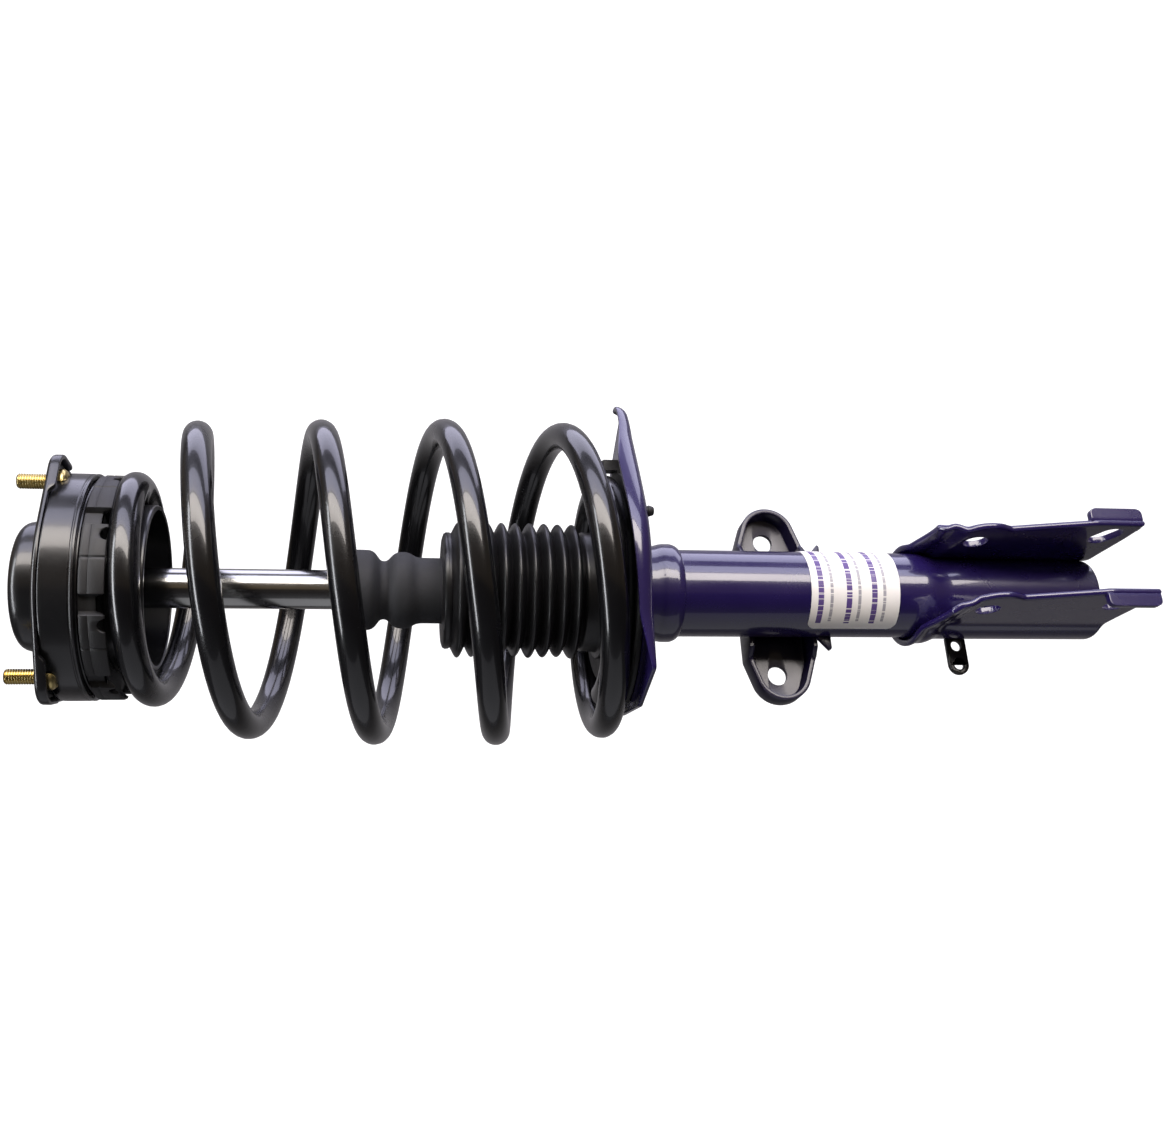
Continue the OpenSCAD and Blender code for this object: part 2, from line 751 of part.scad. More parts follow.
module tube_label() {
    top = -413;
    height = 54;
    t = 0.3;
    first = -161;
    span = 166;
    color([0.9, 0.88, 0.84]) rotate(first) translate([0, 0, top - height]) rotate_extrude(angle = span)
        translate([tube_r, 0]) square([t, height]);
}

mount_plate();
mount_can();
mount_cup();
mount_studs();
mount_rubber();
center_sleeve();
rod_washers();
rod_nut();
bearing_upper_race();
piston_rod();
rebound_stop();
piston();
piston_band();
piston_shims();
piston_nut();
bearing_cage();
bearing_balls();
bearing_lower_race();
upper_spring_seat();
upper_isolator();
coil_spring();
bump_stop();
strut_tube();
tube_cap();
oil_seal();
rod_guide();
guide_bush();
pressure_tube();
base_valve();
end_cap();
lower_spring_seat();
seat_collar();
lower_isolator();
dust_boot();
link_bracket();
knuckle_bracket();
hose_bracket();
tube_label();
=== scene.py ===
import json
import math
import bmesh
import bpy
from mathutils import Matrix, Vector


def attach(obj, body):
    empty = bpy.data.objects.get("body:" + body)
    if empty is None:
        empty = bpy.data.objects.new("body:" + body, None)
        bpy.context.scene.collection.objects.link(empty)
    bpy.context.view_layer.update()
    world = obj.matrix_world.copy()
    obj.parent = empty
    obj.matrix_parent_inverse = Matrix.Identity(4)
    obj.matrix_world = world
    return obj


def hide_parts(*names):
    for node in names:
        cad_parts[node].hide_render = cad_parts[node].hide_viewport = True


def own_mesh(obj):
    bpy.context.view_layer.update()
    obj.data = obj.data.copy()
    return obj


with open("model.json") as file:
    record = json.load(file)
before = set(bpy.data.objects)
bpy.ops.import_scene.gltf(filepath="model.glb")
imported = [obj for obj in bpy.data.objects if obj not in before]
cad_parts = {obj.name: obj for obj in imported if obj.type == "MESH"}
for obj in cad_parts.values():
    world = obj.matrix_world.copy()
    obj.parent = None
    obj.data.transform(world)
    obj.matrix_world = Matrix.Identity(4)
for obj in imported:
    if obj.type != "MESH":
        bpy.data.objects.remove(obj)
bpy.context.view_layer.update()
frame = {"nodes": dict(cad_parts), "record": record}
print("frame loaded:", len(frame["nodes"]), "nodes")

mm = 0.001
wideSide = math.radians(-20)   # the lower seat's wide side, about Z
nodes = frame["nodes"]


def smooth(x):
    t = min(1.0, max(0.0, x))
    return t * t * (3 - 2 * t)


def onCircle(radius, angle, z=0.0):
    return (radius * math.cos(angle), radius * math.sin(angle), z)


# ---- camera and light

cameraPlace = {
    "spot": (-0.2434, -0.6343, -0.1686), "back": (-0.3681, -0.9143, 0.1690),
    "up": (0.9284, -0.3714, 0.0127), "lens": 36.74,
}


def makeCamera():
    data = bpy.data.cameras.new("camera")
    data.lens = cameraPlace["lens"]
    data.sensor_width = 36
    data.clip_start = 0.01
    back = Vector(cameraPlace["back"]).normalized()
    right = Vector(cameraPlace["up"]).cross(back).normalized()
    up = back.cross(right)
    camera = bpy.data.objects.new("camera", data)
    bpy.context.scene.collection.objects.link(camera)
    turn = Matrix((right, up, back)).transposed().to_4x4()
    camera.matrix_world = Matrix.Translation(cameraPlace["spot"]) @ turn
    bpy.context.scene.camera = camera
    return right, up, back


viewRight, viewUp, viewBack = makeCamera()
middle = Vector((0, 0, -0.29))

# softboxes by where they stand as seen from the camera: degrees above the line of sight, degrees to the
# right, distance, width and height, power and colour
softboxes = {
    "warmStrip": {"rise": 48, "side": 0, "away": 1.6, "size": (2.8, 0.60), "power": 46,
                  "color": (1.0, 0.93, 0.88)},
    "coolStrip": {"rise": 70, "side": 0, "away": 1.6, "size": (2.8, 0.56), "power": 19,
                  "color": (0.78, 0.78, 1.0)},
    "backStrip": {"rise": 115, "side": 0, "away": 1.6, "size": (2.8, 0.95), "power": 22,
                  "color": (0.78, 0.77, 1.0)},
    "leftBox": {"rise": 2, "side": -60, "away": 1.6, "size": (0.30, 1.9), "power": 18,
                "color": (0.93, 0.95, 1.0)},
    "lowSheet": {"rise": -82, "side": 0, "away": 1.6, "size": (2.8, 1.7), "power": 4,
                 "color": (0.93, 0.93, 1.0)},
}


def makeLights():
    for name, box in softboxes.items():
        data = bpy.data.lights.new(name, "AREA")
        data.shape = "RECTANGLE"
        data.size, data.size_y = box["size"]
        data.energy = box["power"]
        data.color = box["color"]
        lamp = bpy.data.objects.new(name, data)
        bpy.context.scene.collection.objects.link(lamp)
        rise, side = math.radians(box["rise"]), math.radians(box["side"])
        level = math.cos(side) * viewBack + math.sin(side) * viewRight
        way = math.sin(rise) * viewUp + math.cos(rise) * level
        spot = middle + box["away"] * way
        back = (spot - middle).normalized()
        side = (viewRight - viewRight.dot(back) * back).normalized()
        turn = Matrix((side, back.cross(side), back)).transposed().to_4x4()
        lamp.matrix_world = Matrix.Translation(spot) @ turn


def makeWorld():
    # white to the camera, a dark room with a warm upper wall to everything else
    world = bpy.data.worlds.new("studio")
    bpy.context.scene.world = world
    world.use_nodes = True
    tree = world.node_tree
    tree.nodes.clear()
    out = tree.nodes.new("ShaderNodeOutputWorld")
    seen = tree.nodes.new("ShaderNodeBackground")
    seen.inputs["Color"].default_value = (1, 1, 1, 1)
    seen.inputs["Strength"].default_value = 1.0
    room = tree.nodes.new("ShaderNodeBackground")
    room.inputs["Strength"].default_value = 1.0
    coord = tree.nodes.new("ShaderNodeTexCoord")
    facing = tree.nodes.new("ShaderNodeVectorMath")
    facing.operation = "DOT_PRODUCT"
    facing.inputs[1].default_value = viewUp
    ramp = tree.nodes.new("ShaderNodeValToRGB")
    shades = ((0.0, (0.10, 0.10, 0.11)), (0.30, (0.030, 0.028, 0.030)), (0.49, (0.026, 0.023, 0.021)),
              (0.54, (0.13, 0.10, 0.065)), (0.74, (0.15, 0.12, 0.09)), (0.9, (0.22, 0.22, 0.26)))
    marks = ramp.color_ramp.elements
    while len(marks) < len(shades):
        marks.new(0.5)
    for mark, (where, shade) in zip(marks, shades):
        mark.position = where
        mark.color = (*shade, 1)
    spread = tree.nodes.new("ShaderNodeMapRange")
    spread.inputs["From Min"].default_value = -1
    spread.inputs["From Max"].default_value = 1
    path = tree.nodes.new("ShaderNodeLightPath")
    mix = tree.nodes.new("ShaderNodeMixShader")
    link = tree.links.new
    link(coord.outputs["Generated"], facing.inputs[0])
    link(facing.outputs["Value"], spread.inputs["Value"])
    link(spread.outputs["Result"], ramp.inputs["Fac"])
    link(ramp.outputs["Color"], room.inputs["Color"])
    link(path.outputs["Is Camera Ray"], mix.inputs["Fac"])
    link(room.outputs["Background"], mix.inputs[1])
    link(seen.outputs["Background"], mix.inputs[2])
    link(mix.outputs["Shader"], out.inputs["Surface"])


makeLights()
makeWorld()
bpy.context.scene.view_settings.view_transform = "Standard"
print("camera, lights and world made")

# ---- shader groups: each puts out masks and heights that change over the surface


def addNode(tree, kind, settings=None, inputs=None):
    node = tree.nodes.new(kind)
    for key, value in (settings or {}).items():
        setattr(node, key, value)
    for key, value in (inputs or {}).items():
        node.inputs[key].default_value = value
    return node


def newGroup(name, inputs, outputs):
    tree = bpy.data.node_groups.new(name, "ShaderNodeTree")
    for label, value in inputs.items():
        socket = tree.interface.new_socket(name=label, in_out="INPUT", socket_type="NodeSocketFloat")
        socket.default_value = value
    for label in outputs:
        tree.interface.new_socket(name=label, in_out="OUTPUT", socket_type="NodeSocketFloat")
    return tree, tree.nodes.new("NodeGroupInput"), tree.nodes.new("NodeGroupOutput")


def makePaintSkin():
    # sprayed paint: a soft orange peel, slow clouds of gloss and a few dust nibs
    tree, given, made = newGroup("paintSkin", {"Peel Scale": 420.0, "Cloud Scale": 26.0, "Nib Scale": 900.0},
                                 ["Peel", "Cloud", "Nibs"])
    link = tree.links.new
    coord = addNode(tree, "ShaderNodeTexCoord")
    peel = addNode(tree, "ShaderNodeTexNoise", inputs={"Detail": 2.0, "Roughness": 0.45})
    cloud = addNode(tree, "ShaderNodeTexNoise", inputs={"Detail": 4.0, "Roughness": 0.6})
    nib = addNode(tree, "ShaderNodeTexVoronoi", {"feature": "F1"})
    near = addNode(tree, "ShaderNodeMapRange", inputs={"From Min": 0.02, "From Max": 0.11, "To Min": 1.0,
                                                       "To Max": 0.0})
    pick = addNode(tree, "ShaderNodeSeparateColor")
    rare = addNode(tree, "ShaderNodeMath", {"operation": "GREATER_THAN"}, {1: 0.965})
    both = addNode(tree, "ShaderNodeMath", {"operation": "MULTIPLY"})
    for noise, label in ((peel, "Peel Scale"), (cloud, "Cloud Scale"), (nib, "Nib Scale")):
        link(coord.outputs["Object"], noise.inputs["Vector"])
        link(given.outputs[label], noise.inputs["Scale"])
    link(nib.outputs["Distance"], near.inputs["Value"])
    link(nib.outputs["Color"], pick.inputs["Color"])
    link(pick.outputs["Red"], rare.inputs[0])
    link(rare.outputs["Value"], both.inputs[0])
    link(near.outputs["Result"], both.inputs[1])
    link(peel.outputs["Fac"], made.inputs["Peel"])
    link(cloud.outputs["Fac"], made.inputs["Cloud"])
    link(both.outputs["Value"], made.inputs["Nibs"])
    return tree


def makeEdgeWear():
    # paint thins and lightens along sharp edges
    tree, given, made = newGroup("edgeWear", {"Edge Width": 0.0007, "Breakup Scale": 700.0}, ["Wear"])
    link = tree.links.new
    coord = addNode(tree, "ShaderNodeTexCoord")
    shape = addNode(tree, "ShaderNodeNewGeometry")
    round_ = addNode(tree, "ShaderNodeBevel", {"samples": 4})
    turn = addNode(tree, "ShaderNodeVectorMath", {"operation": "DOT_PRODUCT"})
    noise = addNode(tree, "ShaderNodeTexNoise", inputs={"Detail": 3.0, "Roughness": 0.7})
    edge = addNode(tree, "ShaderNodeMapRange", inputs={"From Min": 0.985, "From Max": 0.90})
    patch = addNode(tree, "ShaderNodeMapRange", inputs={"From Min": 0.48, "From Max": 0.66})
    both = addNode(tree, "ShaderNodeMath", {"operation": "MULTIPLY"})
    link(coord.outputs["Object"], noise.inputs["Vector"])
    link(given.outputs["Breakup Scale"], noise.inputs["Scale"])
    link(given.outputs["Edge Width"], round_.inputs["Radius"])
    link(round_.outputs["Normal"], turn.inputs[0])
    link(shape.outputs["Normal"], turn.inputs[1])
    link(turn.outputs["Value"], edge.inputs["Value"])
    link(noise.outputs["Fac"], patch.inputs["Value"])
    link(edge.outputs["Result"], both.inputs[0])
    link(patch.outputs["Result"], both.inputs[1])
    link(both.outputs["Value"], made.inputs["Wear"])
    return tree


def makeMouldGrain():
    # moulded rubber and foam: fine grain and bloom
    tree, given, made = newGroup("mouldGrain", {"Grain Scale": 1400.0, "Bloom Scale": 40.0},
                                 ["Grain", "Bloom"])
    link = tree.links.new
    coord = addNode(tree, "ShaderNodeTexCoord")
    grain = addNode(tree, "ShaderNodeTexNoise", inputs={"Detail": 3.0, "Roughness": 0.7})
    bloom = addNode(tree, "ShaderNodeTexNoise", inputs={"Detail": 5.0, "Roughness": 0.62})
    for noise, label in ((grain, "Grain Scale"), (bloom, "Bloom Scale")):
        link(coord.outputs["Object"], noise.inputs["Vector"])
        link(given.outputs[label], noise.inputs["Scale"])
    link(grain.outputs["Fac"], made.inputs["Grain"])
    link(bloom.outputs["Fac"], made.inputs["Bloom"])
    return tree


def makeTurnedLines():
    # fine rings round the axis, as turning or grinding leaves them
    tree, given, made = newGroup("turnedLines", {"Line Scale": 9000.0, "Smear Scale": 60.0},
                                 ["Lines", "Smear"])
    link = tree.links.new
    coord = addNode(tree, "ShaderNodeTexCoord")
    split = addNode(tree, "ShaderNodeSeparateXYZ")
    stretch = addNode(tree, "ShaderNodeCombineXYZ")
    lines = addNode(tree, "ShaderNodeTexNoise", {"noise_dimensions": "3D"}, {"Detail": 2.0, "Scale": 1.0})
    scaled = addNode(tree, "ShaderNodeMath", {"operation": "MULTIPLY"})
    smear = addNode(tree, "ShaderNodeTexNoise", inputs={"Detail": 4.0})
    link(coord.outputs["Object"], split.inputs["Vector"])
    link(split.outputs["Z"], scaled.inputs[0])
    link(given.outputs["Line Scale"], scaled.inputs[1])
    link(scaled.outputs["Value"], stretch.inputs["Z"])
    link(stretch.outputs["Vector"], lines.inputs["Vector"])
    link(coord.outputs["Object"], smear.inputs["Vector"])
    link(given.outputs["Smear Scale"], smear.inputs["Scale"])
    link(lines.outputs["Fac"], made.inputs["Lines"])
    link(smear.outputs["Fac"], made.inputs["Smear"])
    return tree


groups = {"paintSkin": makePaintSkin(), "edgeWear": makeEdgeWear(),
          "mouldGrain": makeMouldGrain(), "turnedLines": makeTurnedLines()}


def startMaterial(name):
    material = bpy.data.materials.new(name)
    material.use_nodes = True
    tree = material.node_tree
    return material, tree, tree.nodes["Principled BSDF"]


def placeGroup(tree, name, values=None):
    node = tree.nodes.new("ShaderNodeGroup")
    node.node_tree = groups[name]
    for label, value in (values or {}).items():
        node.inputs[label].default_value = value
    return node


def mixColors(tree, mask, first, second):
    mix = addNode(tree, "ShaderNodeMix", {"data_type": "RGBA"})
    if hasattr(first, "is_output"):
        tree.links.new(first, mix.inputs[6])
    else:
        mix.inputs[6].default_value = (*first, 1)
    mix.inputs[7].default_value = (*second, 1)
    tree.links.new(mask, mix.inputs[0])
    return mix.outputs[2]


def spreadTo(tree, mask, low, high, start=0.3, end=0.7):
    node = addNode(tree, "ShaderNodeMapRange",
                   inputs={"From Min": start, "From Max": end, "To Min": low, "To Max": high})
    tree.links.new(mask, node.inputs["Value"])
    return node.outputs["Result"]


def bumpFrom(tree, height, strength, distance, before=None):
    node = addNode(tree, "ShaderNodeBump", inputs={"Strength": strength, "Distance": distance})
    tree.links.new(height, node.inputs["Height"])
    if before is not None:
        tree.links.new(before, node.inputs["Normal"])
    return node.outputs["Normal"]


paints = {
    "indigoPaint": {"deep": (0.0100, 0.0048, 0.052), "light": (0.0145, 0.0075, 0.072),
                    "worn": (0.10, 0.09, 0.17),
                    "rough": (0.22, 0.32), "coat": 1.0, "coatRough": 0.06, "peel": 0.05},
    # darker, less blue copy of the indigo paint for the link bracket: painted shade for the shade that falls
    # on its plates
    "bracketPaintShaded": {"deep": (0.0055, 0.0036, 0.020), "light": (0.0080, 0.0054, 0.028),
                     "worn": (0.08, 0.075, 0.12),
                     "rough": (0.26, 0.38), "coat": 0.3, "coatRough": 0.12, "peel": 0.06},
    "mountBlack": {"deep": (0.0030, 0.0030, 0.0036), "light": (0.0055, 0.0055, 0.0062),
                   "worn": (0.07, 0.07, 0.075),
                   "rough": (0.26, 0.38), "coat": 0.5, "coatRough": 0.14, "peel": 0.10},
    "springBlack": {"deep": (0.0022, 0.0022, 0.0028), "light": (0.0042, 0.0042, 0.0050),
                    "worn": (0.05, 0.05, 0.055),
                    "rough": (0.20, 0.30), "coat": 0.6, "coatRough": 0.05, "peel": 0.07},
}


def makePaint(name):
    look = paints[name]
    material, tree, shader = startMaterial(name)
    skin = placeGroup(tree, "paintSkin")
    wear = placeGroup(tree, "edgeWear")
    tone = mixColors(tree, skin.outputs["Cloud"], look["deep"], look["light"])
    nibbed = mixColors(tree, skin.outputs["Nibs"], tone, look["worn"])
    worn = mixColors(tree, wear.outputs["Wear"], nibbed, look["worn"])
    tree.links.new(worn, shader.inputs["Base Color"])
    tree.links.new(spreadTo(tree, skin.outputs["Cloud"], *look["rough"]), shader.inputs["Roughness"])
    peel = bumpFrom(tree, skin.outputs["Peel"], look["peel"], 0.0004)
    tree.links.new(bumpFrom(tree, skin.outputs["Nibs"], 0.25, 0.0003, peel), shader.inputs["Normal"])
    shader.inputs["Coat Weight"].default_value = look["coat"]
    shader.inputs["Coat Roughness"].default_value = look["coatRough"]
    return material


softs = {
    "rubberBlack": {"deep": (0.006, 0.006, 0.0065), "light": (0.013, 0.013, 0.0135), "rough": (0.42, 0.62),
                    "bump": 0.25},
    "bootRubber": {"deep": (0.0045, 0.0045, 0.005), "light": (0.0085, 0.0085, 0.0092),
                   "rough": (0.26, 0.40), "bump": 0.12},
    "stopFoam": {"deep": (0.014, 0.0145, 0.017), "light": (0.024, 0.025, 0.028), "rough": (0.62, 0.80),
                 "bump": 0.45},
    "slidingPlastic": {"deep": (0.32, 0.26, 0.17), "light": (0.44, 0.37, 0.26), "rough": (0.40, 0.55),
                       "bump": 0.10},
}


def makeSoft(name):
    look = softs[name]
    material, tree, shader = startMaterial(name)
    grain = placeGroup(tree, "mouldGrain")
    tree.links.new(mixColors(tree, grain.outputs["Bloom"], look["deep"], look["light"]),
                   shader.inputs["Base Color"])
    tree.links.new(spreadTo(tree, grain.outputs["Bloom"], *look["rough"]), shader.inputs["Roughness"])
    tree.links.new(bumpFrom(tree, grain.outputs["Grain"], look["bump"], 0.0003), shader.inputs["Normal"])
    return material


metals = {
    "chromeRod": {"dark": (0.40, 0.40, 0.385), "light": (0.50, 0.50, 0.48), "rough": (0.13, 0.20),
                  "lines": 0.02},
    "plainSteel": {"dark": (0.34, 0.34, 0.35), "light": (0.52, 0.52, 0.53), "rough": (0.26, 0.42),
                   "lines": 0.15},
    "bearingSteel": {"dark": (0.55, 0.55, 0.56), "light": (0.68, 0.68, 0.69), "rough": (0.10, 0.20),
                     "lines": 0.05},
    "sinteredIron": {"dark": (0.12, 0.12, 0.125), "light": (0.24, 0.24, 0.245), "rough": (0.50, 0.68),
                     "lines": 0.05},
    "yellowZinc": {"dark": (0.50, 0.36, 0.10), "light": (0.78, 0.66, 0.34), "rough": (0.20, 0.36),
                   "lines": 0.10},
}


def makeMetal(name):
    look = metals[name]
    material, tree, shader = startMaterial(name)
    turned = placeGroup(tree, "turnedLines")
    tree.links.new(mixColors(tree, turned.outputs["Smear"], look["dark"], look["light"]),
                   shader.inputs["Base Color"])
    tree.links.new(spreadTo(tree, turned.outputs["Smear"], *look["rough"]), shader.inputs["Roughness"])
    tree.links.new(bumpFrom(tree, turned.outputs["Lines"], look["lines"], 0.0002), shader.inputs["Normal"])
    shader.inputs["Metallic"].default_value = 1.0
    return material


materials = {name: makePaint(name) for name in paints}
materials.update({name: makeSoft(name) for name in softs})
materials.update({name: makeMetal(name) for name in metals})

slotMaterials = {
    "mount_black": "mountBlack", "yellow_zinc": "yellowZinc", "rubber": "rubberBlack", "steel": "plainSteel",
    "bearing_steel": "bearingSteel", "chrome": "chromeRod", "sintered_iron": "sinteredIron",
    "bearing_plastic": "slidingPlastic", "spring_black": "springBlack", "bump_foam": "stopFoam",
    "indigo_paint": "indigoPaint", "boot_rubber": "bootRubber",
}
for part in frame["record"]["subparts"]:
    look = slotMaterials.get(part["material_slot"])
    if look:
        node = nodes[part["node"]]
        node.data.materials.clear()
        node.data.materials.append(materials[look])
print("materials made:", len(materials))

# ---- mesh helpers


def newObject(name, verts, faces, weld=None):
    # mesh object from millimetres, its faces turned outwards
    mesh = bpy.data.meshes.new(name)
    mesh.from_pydata([(x * mm, y * mm, z * mm) for x, y, z in verts], [], faces)
    cleaned = bmesh.new()
    cleaned.from_mesh(mesh)
    if weld:
        bmesh.ops.remove_doubles(cleaned, verts=cleaned.verts, dist=weld)
    bmesh.ops.recalc_face_normals(cleaned, faces=cleaned.faces)
    cleaned.to_mesh(mesh)
    cleaned.free()
    made = bpy.data.objects.new(name, mesh)
    bpy.context.scene.collection.objects.link(made)
    return made


def addPiece(name, verts, faces, material, body, slot, replaced=()):
    piece = newObject(name, verts, faces, weld=1e-6)
    piece.data.materials.append(materials[material])
    shadeSmooth(piece, 40)
    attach(piece, body)
    if replaced:
        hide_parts(*replaced)
    return piece


def shadeSmooth(piece, angle):
    mesh = piece.data
    mesh.polygons.foreach_set("use_smooth", [True] * len(mesh.polygons))
    mesh.set_sharp_from_angle(angle=math.radians(angle))


def gridFaces(rows, cols, loopRows=False, loopCols=False, start=0):
    faces = []
    for i in range(rows if loopRows else rows - 1):
        for j in range(cols if loopCols else cols - 1):
            a, b = i * cols, (i + 1) % rows * cols
            k = (j + 1) % cols
            faces.append((start + a + j, start + a + k, start + b + k, start + b + j))
    return faces


def prismFaces(count):
    # two loops of points, joined and closed at both ends
    return gridFaces(2, count, loopCols=True) + [tuple(range(count - 1, -1, -1)),
                                                 tuple(range(count, 2 * count))]


def rounded(points, steps=5):
    # points are (across, along, corner radius); every corner with a radius becomes an arc
    out = []
    count = len(points)
    for i, (x, y, radius) in enumerate(points):
        here = Vector((x, y))
        if radius <= 0:
            out.append((x, y))
            continue
        before = Vector(points[i - 1][:2]) - here
        after = Vector(points[(i + 1) % count][:2]) - here
        cut = min(radius, 0.49 * before.length, 0.49 * after.length)
        a, b = here + before.normalized() * cut, here + after.normalized() * cut
        for k in range(steps + 1):
            t = k / steps
            p = (1 - t) ** 2 * a + 2 * t * (1 - t) * here + t * t * b
            out.append((p.x, p.y))
    return out


def lathe(profile, segments=128, shift=None, wobble=None):
    # profile is a closed loop of (radius, z); shift moves a ring sideways by its height
    verts = []
    for k in range(segments):
        a = 2 * math.pi * k / segments
        for r, z in profile:
            radius = max(r, 0.0) + (wobble(a, r, z) if wobble else 0)
            dx, dy = shift(z) if shift else (0, 0)
            verts.append((radius * math.cos(a) + dx, radius * math.sin(a) + dy, z))
    return verts, gridFaces(segments, len(profile), loopRows=True, loopCols=True)


def latheSolid(points, segments=128, steps=5):
    return lathe(rounded(points, steps), segments)


def joinShapes(*shapes):
    verts, faces = [], []
    for v, f in shapes:
        base = len(verts)
        verts += v
        faces += [tuple(base + i for i in face) for face in f]
    return verts, faces


def boxShape(low, high):
    x0, y0, z0 = low
    x1, y1, z1 = high
    verts = [(x, y, z) for x in (x0, x1) for y in (y0, y1) for z in (z0, z1)]
    faces = [(0, 1, 3, 2), (4, 6, 7, 5), (0, 4, 5, 1), (2, 3, 7, 6), (0, 2, 6, 4), (1, 5, 7, 3)]
    return verts, faces


def rodShape(radius, start, end, segments=48):
    # capped cylinder between two points
    start, end = Vector(start), Vector(end)
    along = (end - start).normalized()
    side = along.orthogonal().normalized()
    other = along.cross(side)
    verts = []
    for centre in (start, end):
        for k in range(segments):
            a = 2 * math.pi * k / segments
            verts.append(tuple(centre + radius * (math.cos(a) * side + math.sin(a) * other)))
    return verts, prismFaces(segments)


def applyModifiers(piece):
    graph = bpy.context.evaluated_depsgraph_get()
    mesh = bpy.data.meshes.new_from_object(piece.evaluated_get(graph))
    piece.modifiers.clear()
    old = piece.data
    piece.data = mesh
    bpy.data.meshes.remove(old)


def combine(piece, shapes, operation):
    for shape in shapes:
        tool = newObject("tool", *shape)
        step = piece.modifiers.new("combine", "BOOLEAN")
        step.operation = operation
        step.solver = "EXACT"
        step.object = tool
        bpy.context.view_layer.update()
        applyModifiers(piece)
        bpy.data.objects.remove(tool)


def soften(piece, width, segments=3, angle=35):
    # rounds the sheet's cut edges
    bevel = piece.modifiers.new("edges", "BEVEL")
    bevel.width = width * mm
    bevel.segments = segments
    bevel.limit_method = "ANGLE"
    bevel.angle_limit = math.radians(angle)
    bevel.harden_normals = False
    bpy.context.view_layer.update()
    applyModifiers(piece)
    shadeSmooth(piece, 40)


# ---- coil spring: a centreline that a tube follows, so that the wire stays round when it shortens

springValues = {
    "wire": 7.75, "topRadius": 55.0, "mainRadius": 78.5, "growth": 5.5, "lowRadius": 60.0, "standOff": 5.0,
    "pitch": 67.0, "leadPitch": 16.0, "easeIn": 1.5, "easeOut": 0.5, "lead": -0.4, "tail": 0.82,
    "topZ": -38.45, "lowZ": -293.95, "pointsPerTurn": 64, "sides": 32,
}


def springPath():
    s = springValues
    topZ, lowZ = s["topZ"], s["lowZ"]
    eased = s["easeIn"] * (s["leadPitch"] + s["pitch"]) / 2 + s["easeOut"] * s["pitch"] / 2
    turnsOut = s["easeIn"] + (topZ - lowZ - eased) / s["pitch"]
    last = turnsOut + s["easeOut"] + s["tail"]

    def summed(x):
        t = min(1.0, max(0.0, x))
        return t ** 3 - t ** 4 / 2

    def drop(t):
        fall = s["leadPitch"] * max(0, min(t, s["easeIn"]))
        fall += (s["pitch"] - s["leadPitch"]) * s["easeIn"] * summed(t / s["easeIn"])
        fall += s["pitch"] * max(0, min(t, turnsOut) - s["easeIn"])
        if t > turnsOut:
            e = min(1, (t - turnsOut) / s["easeOut"])
            fall += s["pitch"] * s["easeOut"] * (e - summed(e))
        return fall

    def radius(t):
        if t < turnsOut:
            grown = s["growth"] * smooth((t - 1) / 2)
            return s["topRadius"] + (s["mainRadius"] - s["topRadius"]) * smooth((t - 0.4) / 0.6) + grown
        shrink = 1 - smooth((t - turnsOut - 0.15) / 0.7)
        return s["lowRadius"] + (s["mainRadius"] + s["growth"] - s["lowRadius"]) * shrink

    def offset(t):
        return s["standOff"] * smooth((t - 0.5) / 0.5) * (1 - smooth((t - turnsOut - 0.15) / 0.6))

    count = int((last - s["lead"]) * s["pointsPerTurn"])
    points = []
    for i in range(count + 1):
        t = s["lead"] + (last - s["lead"]) * i / count
        a = wideSide - 2 * math.pi * t
        x, y, _ = onCircle(radius(t), a)
        ox, oy, _ = onCircle(offset(t), wideSide)
        points.append((x + ox, y + oy, topZ - drop(t)))
    return points


def makeSpring():
    s = springValues
    points = springPath()
    mesh = bpy.data.meshes.new("coilSpring")
    mesh.from_pydata([(x * mm, y * mm, z * mm) for x, y, z in points],
                     [(i, i + 1) for i in range(len(points) - 1)], [])
    mesh.materials.append(materials["springBlack"])
    piece = bpy.data.objects.new("coilSpring", mesh)
    bpy.context.scene.collection.objects.link(piece)
    tree = bpy.data.node_groups.new("wireTube", "GeometryNodeTree")
    tree.interface.new_socket(name="Geometry", in_out="INPUT", socket_type="NodeSocketGeometry")
    tree.interface.new_socket(name="Geometry", in_out="OUTPUT", socket_type="NodeSocketGeometry")
    given, made = tree.nodes.new("NodeGroupInput"), tree.nodes.new("NodeGroupOutput")
    line = tree.nodes.new("GeometryNodeMeshToCurve")
    ring = tree.nodes.new("GeometryNodeCurvePrimitiveCircle")
    ring.inputs["Resolution"].default_value = s["sides"]
    ring.inputs["Radius"].default_value = s["wire"] * mm
    tube = tree.nodes.new("GeometryNodeCurveToMesh")
    tube.inputs["Fill Caps"].default_value = True
    flat = tree.nodes.new("GeometryNodeSetShadeSmooth")
    paint = tree.nodes.new("GeometryNodeSetMaterial")
    paint.inputs["Material"].default_value = materials["springBlack"]
    link = tree.links.new
    link(given.outputs[0], line.inputs["Mesh"])
    link(line.outputs["Curve"], tube.inputs["Curve"])
    link(ring.outputs["Curve"], tube.inputs["Profile Curve"])
    link(tube.outputs["Mesh"], flat.inputs["Geometry"])
    link(flat.outputs["Geometry"], paint.inputs["Geometry"])
    link(paint.outputs["Geometry"], made.inputs[0])
    piece.modifiers.new("wireTube", "NODES").node_group = tree
    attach(piece, "upper_seat")
    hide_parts("coil_spring")
    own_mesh(piece)
    print("spring made:", len(points), "points")


makeSpring()


# ---- outlines: the hull of a few circles, sampled by the direction it faces


